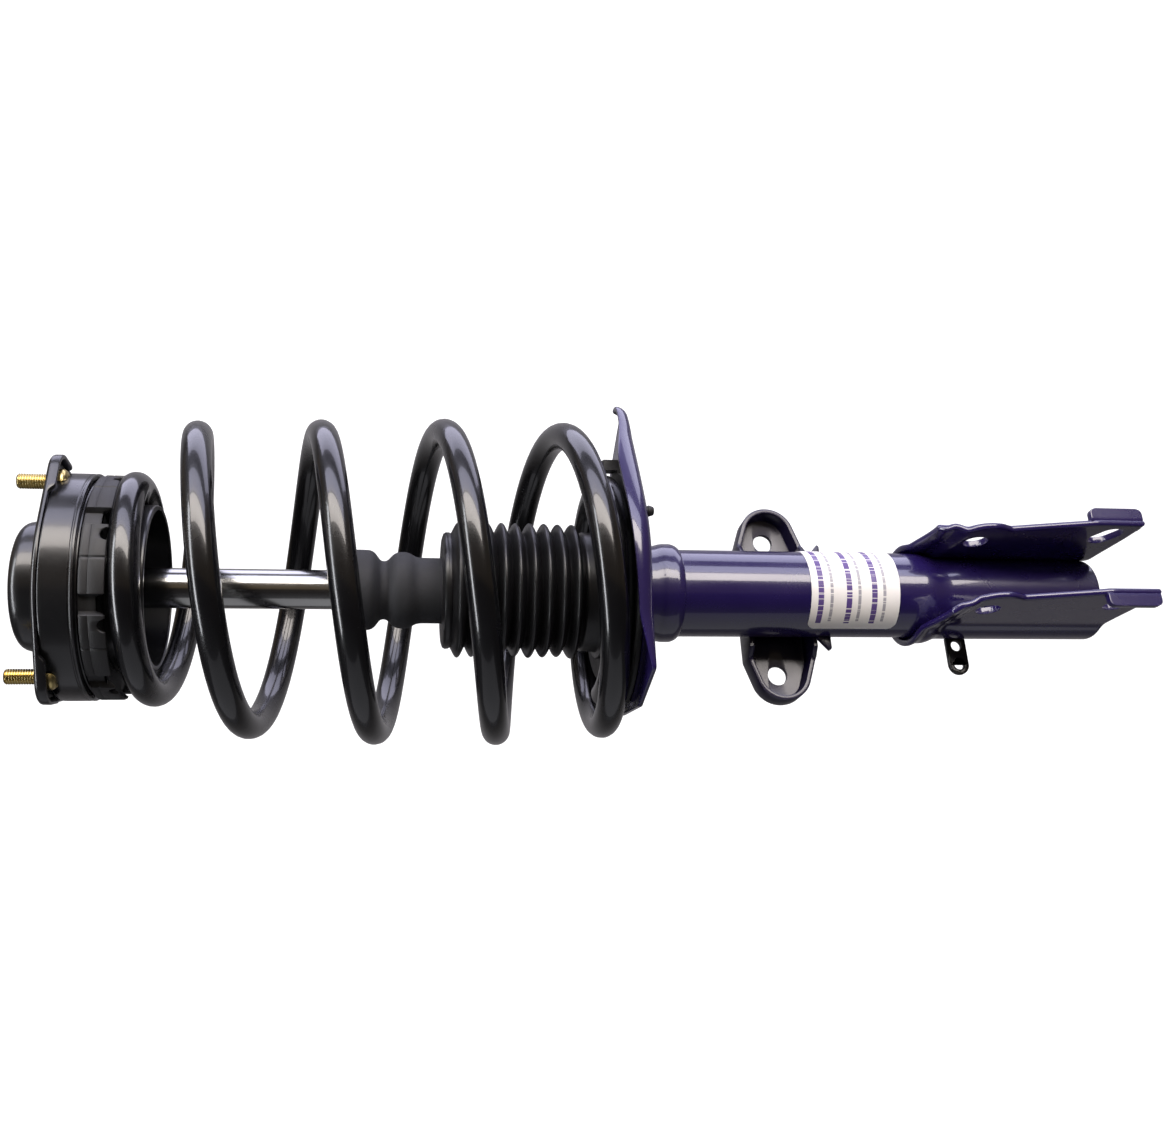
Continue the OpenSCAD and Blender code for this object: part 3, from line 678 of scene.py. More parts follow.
def hullOutline(circles, inset=0.0, steps=180, edgeSteps=14):
    # circles are (x, y, radius); returns points round the hull, with extra points along its straight edges
    hits = []
    for k in range(steps):
        a = 2 * math.pi * k / steps
        n = Vector((math.cos(a), math.sin(a)))
        best = max(range(len(circles)), key=lambda i: Vector(circles[i][:2]).dot(n) + circles[i][2])
        hits.append((best, n))
    points = []
    for k, (i, n) in enumerate(hits):
        x, y, r = circles[i]
        here = Vector((x, y)) + n * (r - inset)
        points.append(here)
        j, m = hits[(k + 1) % steps]
        if i != j:
            x2, y2, r2 = circles[j]
            there = Vector((x2, y2)) + m * (r2 - inset)
            for e in range(1, edgeSteps):
                points.append(here.lerp(there, e / edgeSteps))
    return points


def turned(x, y, z):
    # from the seat's own directions to the part's
    c, s = math.cos(wideSide), math.sin(wideSide)
    return (c * x - s * y, s * x + c * y, z)


def thinned(distance, half, edge):
    # half the sheet's thickness near a rounded edge
    short = max(0.0, edge - distance)
    return half - edge + math.sqrt(edge ** 2 - short ** 2) if edge else half


def sheetGrid(rows, thickness, edge=0.0):
    # rows of points on a sheet's middle surface; gives the closed sheet, thinner where its edges are rounded
    count, width = len(rows), len(rows[0])
    front, back = [], []
    for i in range(count):
        for j in range(width):
            along = rows[min(count - 1, i + 1)][j] - rows[max(0, i - 1)][j]
            across = rows[i][min(width - 1, j + 1)] - rows[i][max(0, j - 1)]
            here = rows[i][j]
            inside = min((here - rows[0][j]).length, (here - rows[-1][j]).length,
                         (here - rows[i][0]).length, (here - rows[i][-1]).length)
            n = along.cross(across).normalized() * thinned(inside, thickness / 2, edge)
            front.append(tuple(rows[i][j] + n))
            back.append(tuple(rows[i][j] - n))
    total = count * width
    faces = gridFaces(count, width)
    faces += [tuple(total + v for v in reversed(f)) for f in gridFaces(count, width)]
    border = [j for j in range(width)] + [i * width + width - 1 for i in range(1, count)]
    border += [(count - 1) * width + j for j in range(width - 2, -1, -1)]
    border += [i * width for i in range(count - 2, 0, -1)]
    for k, a in enumerate(border):
        b = border[(k + 1) % len(border)]
        faces.append((b, a, total + a, total + b))
    return front + back, faces


def closerEnds(points, steps=(0.2, 0.45, 0.75)):
    # more points in the first and last two steps of a line
    extra = []
    for a, b in ((points[0], points[1]), (points[-1], points[-2])):
        extra.append([a.lerp(b, f) for f in steps])
    return [points[0]] + extra[0] + points[1:-1] + extra[1][::-1] + [points[-1]]


def smoothLine(points, times):
    for _ in range(times):
        points = [points[0]] + [(points[i - 1] + 2 * points[i] + points[i + 1]) / 4
                                for i in range(1, len(points) - 1)] + [points[-1]]
    return points


# ---- top mount

mountValues = {
    "plate": 61.0, "lobe": 14.3, "circle": 58.5, "angles": (-42, 78, -162), "sheet": 3.0, "rim": 3.0,
    "can": 35.0, "canTop": 19.0, "canFoot": -16.0, "canWall": 2.5, "mouth": 16.0, "shoulder": 9.0,
    "cup": 61.0, "cupFoot": -20.0, "cupWall": 2.5, "studTop": 17.0, "stud": 4.0, "threadPitch": 1.25,
    "threadDepth": 0.62, "headReach": 7.0, "headFoot": -8.0,
}


def plateEdge(angle, inset):
    m = mountValues
    side = math.acos((m["plate"] - m["lobe"]) / m["circle"])
    r, lobe = m["plate"] - inset, m["lobe"] - inset
    best = r
    for stud in m["angles"]:
        d = abs((angle - math.radians(stud) + math.pi) % (2 * math.pi) - math.pi)
        tip = Vector((m["circle"] + lobe * math.cos(side), lobe * math.sin(side)))
        start = math.atan2(tip.y, tip.x)
        if d < start:
            across = m["circle"] * math.sin(d)
            best = max(best, m["circle"] * math.cos(d) + math.sqrt(max(0, lobe ** 2 - across ** 2)))
        elif d < side:
            best = max(best, r / math.cos(side - d))
    return best


def makeMountPlate():
    m = mountValues
    verts, count = [], 360
    for k in range(count):
        a = 2 * math.pi * k / count
        free = smooth((plateEdge(a, 0) - 2.6 - m["cup"] - 0.3) / 1.6)
        foot = -m["sheet"] - m["rim"] * free
        line = [(m["can"], 0.0), (m["can"] + 2, 0.0), (m["can"] + 2.6, -0.5), (m["can"] + 6, -0.5),
                (m["can"] + 7, 0.0)]
        for inset, z in ((4.5, 0.0), (2.6, -0.02), (1.3, -0.3), (0.45, -0.95), (0.05, -1.9)):
            line.append((plateEdge(a, inset), z))
        for inset, z in ((0.0, foot + 0.7), (0.25, foot + 0.2), (0.8, foot), (1.8, foot), (2.3, foot + 0.25)):
            line.append((plateEdge(a, inset), z))
        line += [(plateEdge(a, 2.5), min(-m["sheet"], foot + 0.8)),
                 (plateEdge(a, 2.8 + 0.7 * free), -m["sheet"]), (m["can"], -m["sheet"])]
        verts += [onCircle(r, a, z) for r, z in line]
    faces = gridFaces(count, len(verts) // count, loopRows=True, loopCols=True)
    return addPiece("mountPlate", verts, faces, "mountBlack", "top_mount", "mount_black", ["mount_plate"])


def makeMountCan():
    m = mountValues
    r, top, w = m["can"], m["canTop"], m["canWall"]
    profile = [(r - 0.1, m["canFoot"], 0.6), (r, -0.2, 0), (r, 0.4, 0), (r - 0.1, 2.2, 0.8),
               (r - 0.1, top, m["shoulder"]), (m["mouth"] + 2.5, top, 1.5), (m["mouth"], top - 1.2, 1.6),
               (m["mouth"], top - 6.0, 0.4), (m["mouth"] + 1.6, top - 6.0, 0.4),
               (m["mouth"] + 1.7, top - w, 1.2), (r - w, top - w, m["shoulder"] - w),
               (r - w, m["canFoot"], 0.4)]
    verts, faces = latheSolid(profile, 144, 9)
    return addPiece("mountCan", verts, faces, "mountBlack", "top_mount", "mount_black", ["mount_can"])


def makeMountCup():
    m = mountValues
    r, foot, w = m["cup"], m["cupFoot"], m["cupWall"]
    profile = [(m["can"], -3.0, 0), (r - 0.1, -3.0, 1.6), (r, -6.0, 0), (r, foot + 2.6, 0.6),
               (r - 0.5, foot + 2.2, 0.5), (r - 0.4, foot + 1.6, 0.5), (r, foot + 1.2, 0.6),
               (r, foot, 0.9), (r - w, foot, 0.5), (r - w, -5.5, 1.6), (m["can"], -5.5, 0)]
    verts, faces = latheSolid(profile, 180, 4)
    return addPiece("mountCup", verts, faces, "mountBlack", "top_mount", "mount_black", ["mount_cup"])


def threadedRod(radius, low, high, pitch, depth, segments=36):
    # rod with a rolled thread that runs out at both ends
    rows = int((high - low) / pitch * 10)
    verts = []
    for i in range(rows + 1):
        z = low + (high - low) * i / rows
        fade = min(1.0, (z - low) / (1.2 * pitch), (high - z) / (0.8 * pitch))
        for k in range(segments):
            a = 2 * math.pi * k / segments
            wave = ((z / pitch - k / segments) % 1.0)
            cut = smooth(1 - abs(2 * wave - 1) * 1.25)
            r = radius - depth * max(0.0, fade) * cut
            if z > high - 0.9:
                r = min(r, radius - (z - high + 0.9) * 0.8)
            verts.append(onCircle(r, a, z))
    faces = gridFaces(rows + 1, segments, loopCols=True)
    faces += [tuple(range(segments - 1, -1, -1)), tuple(rows * segments + k for k in range(segments))]
    return verts, faces


def makeStuds():
    m = mountValues
    rod = threadedRod(m["stud"], 0.0, m["studTop"], m["threadPitch"], m["threadDepth"])
    foot = rodShape(m["stud"] + 0.2, (0, 0, -m["sheet"]), (0, 0, 0.35), 36)
    head = latheSolid([(0, -m["sheet"], 0), (m["headReach"] - 0.2, -m["sheet"], 0.3),
                       (m["headReach"], m["headFoot"] + 1.8, 1.4),
                       (m["headReach"] - 2.2, m["headFoot"], 1.8), (0, m["headFoot"], 0)], 48, 5)
    flat = m["cup"] - m["circle"] + 0.15
    head = ([(max(x, flat), y, z) for x, y, z in head[0]], head[1])
    verts, faces = joinShapes(rod, foot, head)
    allVerts, allFaces = [], []
    for stud in m["angles"]:
        a = math.radians(stud)
        c, s = math.cos(a), math.sin(a)
        base = len(allVerts)
        allVerts += [(c * (x + m["circle"]) - s * y, s * (x + m["circle"]) + c * y, z) for x, y, z in verts]
        allFaces += [tuple(base + v for v in f) for f in faces]
    return addPiece("mountStuds", allVerts, allFaces, "yellowZinc", "top_mount", "yellow_zinc",
                    ["mount_studs"])


makeMountPlate()
makeMountCan()
makeMountCup()
makeStuds()
print("top mount made")

# ---- rubber seat under the upper spring seat

isolatorValues = {
    "reach": 60.5, "ring": 57.5, "hub": 45.0, "top": -21.2, "foot": -30.7, "lugTop": -22.0, "lugs": 8,
    "lugTurn": 13.3, "lugShare": 0.80, "bite": 3.4, "coil": 55.0, "leadPitch": 16.0,
}


def makeIsolator():
    v = isolatorValues
    count = 720
    verts = []
    for k in range(count):
        a = 2 * math.pi * k / count
        own = (a - wideSide) / (2 * math.pi)
        turn = (-own) % 1.0                       # turns along the spring from its start
        turn = turn - 1 if turn > 0.62 else turn
        part = ((own * v["lugs"] - v["lugTurn"] / 45.0) + 0.5) % 1.0 - 0.5
        edge = v["lugShare"] / 2
        lug = smooth((edge - abs(part)) / 0.035 + 0.5)
        biteAt = abs((part - 0.27) * 2 * math.pi * v["reach"] / v["lugs"])
        sink = math.sqrt(max(0.0, v["bite"] ** 2 - biteAt ** 2)) if biteAt < v["bite"] else 0.0
        saddle = max(0.0, min(4.0, 2.0 + v["leadPitch"] * max(0.0, turn)))
        low = v["foot"] - saddle * lug + sink * 1.1
        groove = 0.7 * smooth(1 - abs(part) / 0.012)
        r = v["ring"] + (v["reach"] - v["ring"]) * lug - groove
        line = [(v["hub"], v["top"]), (v["ring"] - 0.8, v["top"]), (v["ring"], v["top"] - 0.6),
                (v["ring"] + (r - v["ring"]) * 0.2, v["lugTop"] - 0.1),
                (r - 0.5 * lug, v["lugTop"] - 0.3 * lug), (r, v["lugTop"] - 1.1), (r, -26.2),
                (r - 0.3 * lug, -26.6), (r, -27.0), (r, low + 0.9), (r - 0.35, low + 0.25),
                (r - 1.1, low), (v["coil"] + 4.1, low + 0.1 * lug),
                (v["coil"] + 3.3, min(v["foot"], low + 1.6)), (v["coil"], v["foot"]),
                (v["hub"] + 0.8, v["foot"]), (v["hub"], v["foot"] + 0.7)]
        verts += [onCircle(rr, a, z) for rr, z in line]
    faces = gridFaces(count, len(verts) // count, loopRows=True, loopCols=True)
    return addPiece("isolator", verts, faces, "rubberBlack", "upper_seat", "rubber", ["upper_isolator"])


makeIsolator()

# ---- upper spring seat: flange and spigot drawn from one sheet

upperSeatValues = {"flange": 57.5, "flangeTop": -18.7, "sheet": 2.5, "hub": 45.0, "foot": -50.0,
                   "floor": -31.0, "hole": 14.0}


def makeUpperSeat():
    v = upperSeatValues
    t = v["sheet"]
    profile = [(v["flange"], v["flangeTop"], 0.8), (v["flange"], v["flangeTop"] - t, 0.8),
               (v["hub"], v["flangeTop"] - t, 0.8), (v["hub"], v["foot"] + 1.2, 1.2),
               (v["hub"] - 0.5, v["foot"], 0.9), (v["hub"] - t - 0.4, v["foot"], 0.9),
               (v["hub"] - t, v["foot"] + 1.4, 1.0), (v["hub"] - t, v["floor"], 1.6),
               (v["hole"], v["floor"], 1.0), (v["hole"], v["floor"] + t, 1.0),
               (v["hub"] - t, v["floor"] + t, 0.4), (v["hub"] - t, v["flangeTop"], 1.2)]
    verts, faces = latheSolid(profile, 160, 4)
    return addPiece("upperSeat", verts, faces, "mountBlack", "upper_seat", "mount_black",
                    ["upper_spring_seat"])


makeUpperSeat()
print("upper seat and isolator made")

# ---- bump stop and boot

stopValues = {"top": -149.0, "bore": 11.3, "bulb": 22.7, "neck": 16.4, "second": 21.6, "tail": 18.5,
              "length": 55.0}


def makeBumpStop():
    v = stopValues
    top = v["top"]
    profile = [(v["bore"], top, 0.5), (v["bulb"] - 6.8, top, 1.5), (v["bulb"] - 0.2, top - 3.4, 3.0),
               (v["bulb"], top - 8.0, 4.0), (v["bulb"] - 0.4, top - 15.6, 3.0),
               (v["neck"], top - 20.0, 2.2), (v["neck"], top - 23.2, 2.2),
               (v["second"] - 0.2, top - 28.0, 3.0), (v["second"], top - 35.0, 3.0),
               (v["tail"] + 0.3, top - 39.6, 2.4), (v["tail"], top - 42.5, 1.0),
               (v["tail"], top - v["length"], 0.8), (v["bore"], top - v["length"], 0.4)]
    shape = rounded(profile, 7)

    def seam(a, r, z):
        # thin moulding flash on two sides, and a slightly uneven skin
        side = math.exp(-((math.sin(a - 0.5) / 0.012) ** 2)) if r > v["neck"] - 1 else 0
        return 0.12 * side + 0.06 * math.sin(5 * a + z * 0.4)

    verts, faces = lathe(shape, 192, wobble=seam)
    return addPiece("bumpStop", verts, faces, "stopFoam", "stop", "bump_foam", ["bump_stop"])


bootValues = {
    "top": -202.6, "collar": 33.0, "tail": 19.0, "foldsTop": -207.6, "folds": 9, "pitch": 8.1,
    "crest": 38.3, "root": 32.3, "waist": 34.2, "flange": 38.2, "foot": -293.0, "wall": 1.5,
    "stopRatio": 0.62,
}


def makeBoot():
    v = bootValues
    outside = [(v["tail"], v["top"]), (v["tail"] + 3, v["top"]), (v["collar"] - 3.0, v["top"] - 0.2),
               (v["collar"] - 0.8, v["top"] - 0.9), (v["collar"], v["top"] - 2.2),
               (v["collar"] - 0.1, v["top"] - 4.0)]
    steps = 16
    for i in range(v["folds"]):
        for k in range(steps):
            s = k / steps
            lift = 0.5 - 0.5 * math.cos(2 * math.pi * s)
            lift = lift ** 0.62
            outside.append((v["root"] + (v["crest"] - v["root"]) * lift - 0.25 * math.sin(i * 2.1),
                            v["foldsTop"] - (i + s) * v["pitch"]))
    waistTop = v["foldsTop"] - v["folds"] * v["pitch"]
    outside += [(v["root"] + 0.4, waistTop), (v["waist"] - 0.4, waistTop - 0.9), (v["waist"], waistTop - 2.0),
                (v["waist"], v["foot"] + 3.6), (v["waist"] + 0.6, v["foot"] + 2.4),
                (v["flange"] - 0.5, v["foot"] + 1.9), (v["flange"], v["foot"] + 1.3),
                (v["flange"], v["foot"] + 0.4), (v["flange"] - 0.4, v["foot"])]
    inside = [(max(v["tail"], r - v["wall"]), z - (v["wall"] if i < 4 else 0.0))
              for i, (r, z) in enumerate(outside)]
    inside = inside[:-5] + [(v["waist"] - v["wall"], v["foot"])]
    profile = outside + inside[::-1]

    def drift(z):
        # the stack of folds leans a little
        lean = 0.7 * math.sin((z - v["foot"]) * 0.031)
        return (lean, -0.5 * lean) if z > v["foot"] + 8 else (0, 0)

    def uneven(a, r, z):
        return 0.16 * math.sin(3 * a + z * 0.25) if z > v["foot"] + 6 else 0

    verts, faces = lathe(profile, 160, shift=drift, wobble=uneven)
    piece = addPiece("dustBoot", verts, faces, "bootRubber", "housing", "boot_rubber", ["dust_boot"])
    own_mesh(piece)
    return piece


makeBumpStop()
makeBoot()
print("bump stop and boot made")

# ---- reservoir tube with its collar

tubeValues = {
    "radius": 25.4, "wall": 2.2, "top": -283.0, "swageTop": -488.0, "swageEnd": -498.0, "narrow": 22.6,
    "foot": -597.0, "collar": 28.7, "collarTop": -307.5, "collarFoot": -339.0,
}


def makeTube():
    v = tubeValues
    r, n, w = v["radius"], v["narrow"], v["wall"]
    profile = [(r - w, v["top"], 0.5), (r, v["top"], 0.6), (r, v["swageTop"], 4.0), (n, v["swageEnd"], 4.0),
               (n, v["foot"] + 1.0, 1.2), (n - 0.8, v["foot"], 0.8), (n - w, v["foot"], 0.3),
               (n - w, v["swageEnd"], 3.0), (r - w, v["swageTop"], 3.0)]
    verts, faces = latheSolid(profile, 180, 8)
    return addPiece("strutTube", verts, faces, "indigoPaint", "housing", "indigo_paint", ["strut_tube"])


def makeCollar():
    v = tubeValues
    r, c = v["radius"], v["collar"]
    top, foot = v["collarTop"], v["collarFoot"]
    profile = [(r, top, 0), (c + 2.6, top - 0.1, 0.5), (c + 1.6, top - 1.6, 1.2), (c - 0.3, top - 4.6, 2.0),
               (c - 1.4, top - 9.0, 3.0), (c - 1.4, foot + 14.5, 2.0), (c - 0.1, foot + 10.6, 2.0),
               (c, foot + 4.2, 2.5), (c - 1.4, foot + 1.2, 1.2), (r + 0.1, foot, 0.5)]
    shape = rounded(profile, 6)

    def bead(a, radius, z):
        # weld ripples where the collar meets the seat
        near = math.exp(-((z - top + 1.6) / 1.6) ** 2)
        return near * (0.28 * math.sin(46 * a) + 0.2 * math.sin(17 * a + 1)) if radius > c else 0

    verts, faces = lathe(shape, 240, wobble=bead)
    return addPiece("seatCollar", verts, faces, "indigoPaint", "housing", "indigo_paint", ["seat_collar"])


makeTube()
makeCollar()

# ---- lower spring seat and its rubber pad

seatValues = {
    "nose": 107.0, "side": 85.0, "trim": 62.0, "pad": 69.0, "floor": -305.0, "sheet": 2.5, "rim": 10.0,
    "hole": 25.4, "bend": 8.5, "padThick": 3.0, "hubOut": 51.05, "hubIn": 36.2, "hubTop": -293.4,
    "pinAngle": -75.0, "pinReach": 74.0,
}


def seatCircles():
    v = seatValues
    return [(0, 0, v["pad"] + 2), (5, -15, v["side"] - 15), (v["nose"] - 14, -8, 14),
            (-v["trim"] + 24, -v["side"] + 1, 4), (-v["trim"] + 5, -53, 5), (-v["trim"] + 5, 42, 5)]


def rimHeight(x, y):
    v = seatValues
    start = -v["trim"] + 23
    # lower where the last free coil comes down at full compression
    rise = min(1.0, max(0.0, (x - start) / 27.0)) * (0.60 + 0.40 * smooth((x + 25) / 105.0))
    fall = 1 - 0.5 * smooth((x - v["nose"] + 37) / 31.0)
    return v["rim"] * rise * fall * smooth(-y / 5.0 + 0.3)


def makeLowerSeat():
    v = seatValues
    under = v["floor"] - v["sheet"]

    def section(point):
        # the wall leaves the floor in a wide bend and ends in a thin upper edge
        h = rimHeight(point.x, point.y)
        bend = v["sheet"] * 0.4 + (v["bend"] - v["sheet"] * 0.4) * min(1.0, h / v["rim"] * 1.6)
        top = v["floor"] + max(h, 0.0)
        inner = max(0.25, bend - v["sheet"])
        steps = [math.radians(90 * k / 6) for k in range(7)]
        outside = [(bend * (1 - math.sin(a)), under + bend * (1 - math.cos(a))) for a in steps]
        inside = [(v["sheet"] + inner * (1 - math.sin(a)), v["floor"] + inner * (1 - math.cos(a)))
                  for a in reversed(steps)]
        outside = [(inset, min(z, top - 0.9)) for inset, z in outside]
        inside = [(inset, min(z, top - 0.5) if h > 1 else v["floor"]) for inset, z in inside]
        return outside + [(0.0, top - 0.8), (0.3, top - 0.2), (0.8, top), (1.7, top),
                          (2.2, top - 0.25)] + inside

    def hub(point):
        return point.normalized() * v["hole"]

    verts, faces = dishRounded(seatCircles(), section, hub)
    piece = addPiece("lowerSeat", verts, faces, "indigoPaint", "housing", "indigo_paint",
                     ["lower_spring_seat"])
    x, y, _ = onCircle(v["pinReach"], math.radians(v["pinAngle"]))
    combine(piece, [rodShape(2.6, (x, y, under - 5), (x, y, v["floor"] + 5), 32)], "DIFFERENCE")
    shadeSmooth(piece, 40)
    return piece


def easeOutline(points, passes=60):
    # rounds off the straight runs, but leaves the trimmed side as it is
    count = len(points)
    for _ in range(passes):
        eased = []
        for k, p in enumerate(points):
            give = smooth((p.x + 10) / 25)
            eased.append(p.lerp((points[k - 1] + 2 * p + points[(k + 1) % count]) / 4, give))
        points = eased
    return points


def dishRounded(circles, section, hub):
    # outline points with their facing, so that every section can have its own insets
    base = easeOutline(hullOutline(circles))
    count = len(base)
    verts, width = [], 0
    for index in range(count):
        point = base[index]
        along = (base[(index + 1) % count] - base[index - 1]).normalized()
        facing = Vector((along.y, -along.x))
        line = []
        loop = section(point)
        a = point - facing * loop[0][0]
        b = point - facing * loop[-1][0]
        for f in (0.0, 0.35, 0.7, 0.93):
            line.append((hub(point).lerp(a, f), loop[0][1]))
        line += [(point - facing * inset, z) for inset, z in loop]
        for f in (0.93, 0.7, 0.35, 0.0):
            line.append((hub(point).lerp(b, f), loop[-1][1]))
        width = len(line)
        verts += [turned(p.x, p.y, z) for p, z in line]
    return verts, gridFaces(count, width, loopRows=True, loopCols=True)


def padEdge(a):
    # reach of the pad in the seat's own directions, cut straight at the trimmed edge
    v = seatValues
    reach = v["pad"]
    away = -math.cos(a)
    if away > 0.2:
        reach = min(reach, (v["trim"] - 1.2) / away)
    return reach


def makePad():
    v = seatValues
    count = 360
    verts = []
    for k in range(count):
        a = 2 * math.pi * k / count
        edge = padEdge(a)
        floor, top = v["floor"], v["floor"] + v["padThick"]
        line = [(v["hole"] + 1, floor), (edge - 0.6, floor), (edge, floor + 0.5), (edge, top - 0.8),
                (edge - 0.5, top - 0.1), (edge - 1.6, top), (v["hubOut"] + 3.0, top),
                (v["hubOut"] + 1.2, top + 0.3), (v["hubOut"] + 0.1, top + 1.4),
                (v["hubOut"], v["hubTop"] - 1.2), (v["hubOut"] - 0.5, v["hubTop"] - 0.3),
                (v["hubOut"] - 1.4, v["hubTop"]), (v["hubIn"] + 1.2, v["hubTop"]),
                (v["hubIn"] + 0.3, v["hubTop"] - 0.4), (v["hubIn"], v["hubTop"] - 1.4),
                (v["hubIn"], top + 1.0), (v["hubIn"] - 1.2, top), (v["hole"] + 1, top)]
        for r, z in line:
            x, y, _ = onCircle(r, a)
            verts.append(turned(x, y, z))
    disc = (verts, gridFaces(count, len(verts) // count, loopRows=True, loopCols=True))
    tab = boxShape((v["pad"] + 1, -9, v["floor"]), (v["pad"] + 7, 9, v["floor"] + 11))
    strip = boxShape((v["pad"] - 1, -9, v["floor"]), (v["pad"] + 6.5, 9, v["floor"] + v["padThick"]))
    tab = ([turned(*p) for p in tab[0]], tab[1])
    strip = ([turned(*p) for p in strip[0]], strip[1])
    a = math.radians(v["pinAngle"])
    x, y, _ = onCircle(v["pinReach"], a)
    lobe = rodShape(5, (x, y, v["floor"]), (x, y, v["floor"] + v["padThick"]), 40)
    tongueVerts, tongueFaces = boxShape((v["pad"] - 4, -4.5, v["floor"]),
                                        (v["pinReach"] - 1, 4.5, v["floor"] + v["padThick"]))
    c, s = math.cos(a), math.sin(a)
    tongue = ([(c * px - s * py, s * px + c * py, pz) for px, py, pz in tongueVerts], tongueFaces)
    pin = latheSolid([(0, 0.5, 0), (2.5, 0.5, 0), (2.5, -2.8, 0.2), (3.1, -3.6, 0.5), (2.2, -6.5, 0.9),
                      (0, -6.5, 0)], 32, 4)
    pin = ([(px + x, py + y, pz + v["floor"]) for px, py, pz in pin[0]], pin[1])
    piece = addPiece("lowerPad", *disc, "rubberBlack", "housing", "rubber", ["lower_isolator"])
    combine(piece, [tab, strip, lobe, tongue, pin], "UNION")
    soften(piece, 0.5, 2, 50)
    return piece


makeLowerSeat()
makePad()
print("lower seat and pad made")

# ---- sway bar link bracket

linkValues = {
    "z": -404.0, "hole": 6.0, "span": 43.0, "reach": 61.5, "half": 21.0, "back": 24.0, "sheet": 3.0,
    "rim": 12.0, "wing": 34.0, "wingReach": 6.0, "earRadius": 17.0, "tail": 7.0,
}


def makeLinkBracket():
    v = linkValues
    ear = v["reach"] - v["earRadius"]
    circles = [(ear, 0, v["earRadius"]), (-ear, 0, v["earRadius"]), (35, v["half"] - 4, 4),
               (35, 4 - v["half"], 4), (-35, v["half"] - 4, 4), (-35, 4 - v["half"], 4)]
    outer = v["back"] + v["sheet"]
    base = hullOutline(circles)
    inner = hullOutline(circles, 1.0)
    verts, width = [], 0
    for point, near in zip(base, inner):
        facing = point - near
        deep = smooth((v["wing"] + 3 - abs(point.x)) / 6.0)
        rim = outer - v["sheet"] - v["rim"] - (v["back"] - v["rim"] - v["wingReach"]) * deep
        line = [(point * f, outer) for f in (0.0, 0.35, 0.7)]
        for inset, y in ((4.0, outer), (2.6, outer - 0.15), (1.2, outer - 0.8), (0.3, outer - 2.0),
                         (0.0, outer - 3.4), (0.0, rim + 0.8), (0.3, rim + 0.2), (1.0, rim), (2.0, rim),
                         (2.7, rim + 0.2), (3.0, rim + 0.8), (3.0, v["back"] - 1.4),
                         (3.4, v["back"] - 0.4), (4.4, v["back"])):
            line.append((point - facing * inset, y))
        line += [(point * f, v["back"]) for f in (0.7, 0.35, 0.0)]
        width = len(line)
        verts += [(p.x, y, v["z"] + p.y) for p, y in line]
    faces = gridFaces(len(base), width, loopRows=True, loopCols=True)
    # the bracket takes the darker copy of the indigo paint, which is painted shade
    piece = addPiece("linkBracket", verts, faces, "bracketPaintShaded", "housing", "indigo_paint", ["link_bracket"])
    cuts = [rodShape(tubeValues["radius"] - 0.05, (0, 0, v["z"] - 40), (0, 0, v["z"] + 40), 180)]
    for side in (-1, 1):
        cuts.append(rodShape(v["hole"], (side * v["span"], 0, v["z"]), (side * v["span"], 40, v["z"]), 48))
    for side in (-1, 1):
        near, far = tubeValues["radius"] - 3, tubeValues["radius"] + 8
        high, low = v["z"] - v["half"] + 1, v["z"] - v["half"] - v["tail"]
        outline = [(near, high), (near, low), (far - 1.2, low), (far - 0.3, low + 0.4), (far, low + 1.4),
                   (near + 3.5, high)]
        wingVerts = [(side * x, y, z) for y in (3.0, 6.0) for x, z in outline]
        combine(piece, [(wingVerts, prismFaces(len(outline)))], "UNION")
    combine(piece, cuts, "DIFFERENCE")
    soften(piece, 0.5, 2, 50)
    return piece


makeLinkBracket()

# ---- knuckle bracket: a sheet folded round the tube, with turned-out lower ends

knuckleValues = {
    "sheet": 3.75, "ear": 19.2, "narrow": 22.6, "wide": 25.4, "top": -480.0, "bottom": -600.0, "reach": 66.0,
    "boltZ": -512.0, "boltReach": 38.5, "bolt": 7.1, "bump": 20.5, "slotZ": -588.0, "slotReach": 50.5,
    "slotExtra": 7.0, "slotTilt": 25.0, "flangeTop": -571.0, "flangeOut": 7.0, "lipFlare": 2.0,
    "swageTop": -488.0, "swageEnd": -498.0,
}


def earReach(z):
    v = knuckleValues
    line = [(v["top"], 44.0), (v["top"] - 9, 51.0), (v["boltZ"] - 14, 55.5),
            (v["flangeTop"] + 2, v["reach"] - 1), (v["flangeTop"], v["reach"]),
            (v["bottom"] - 10, v["reach"])]
    reach = line[0][1]
    for (z0, r0), (z1, r1) in zip(line, line[1:]):
        if z0 >= z >= z1:
            reach = r0 + (r1 - r0) * (z0 - z) / (z0 - z1)
    rise = v["bump"] ** 2 - (z - v["boltZ"]) ** 2
    if rise > 0:
        reach = max(reach, v["boltReach"] + math.sqrt(rise))
    return reach


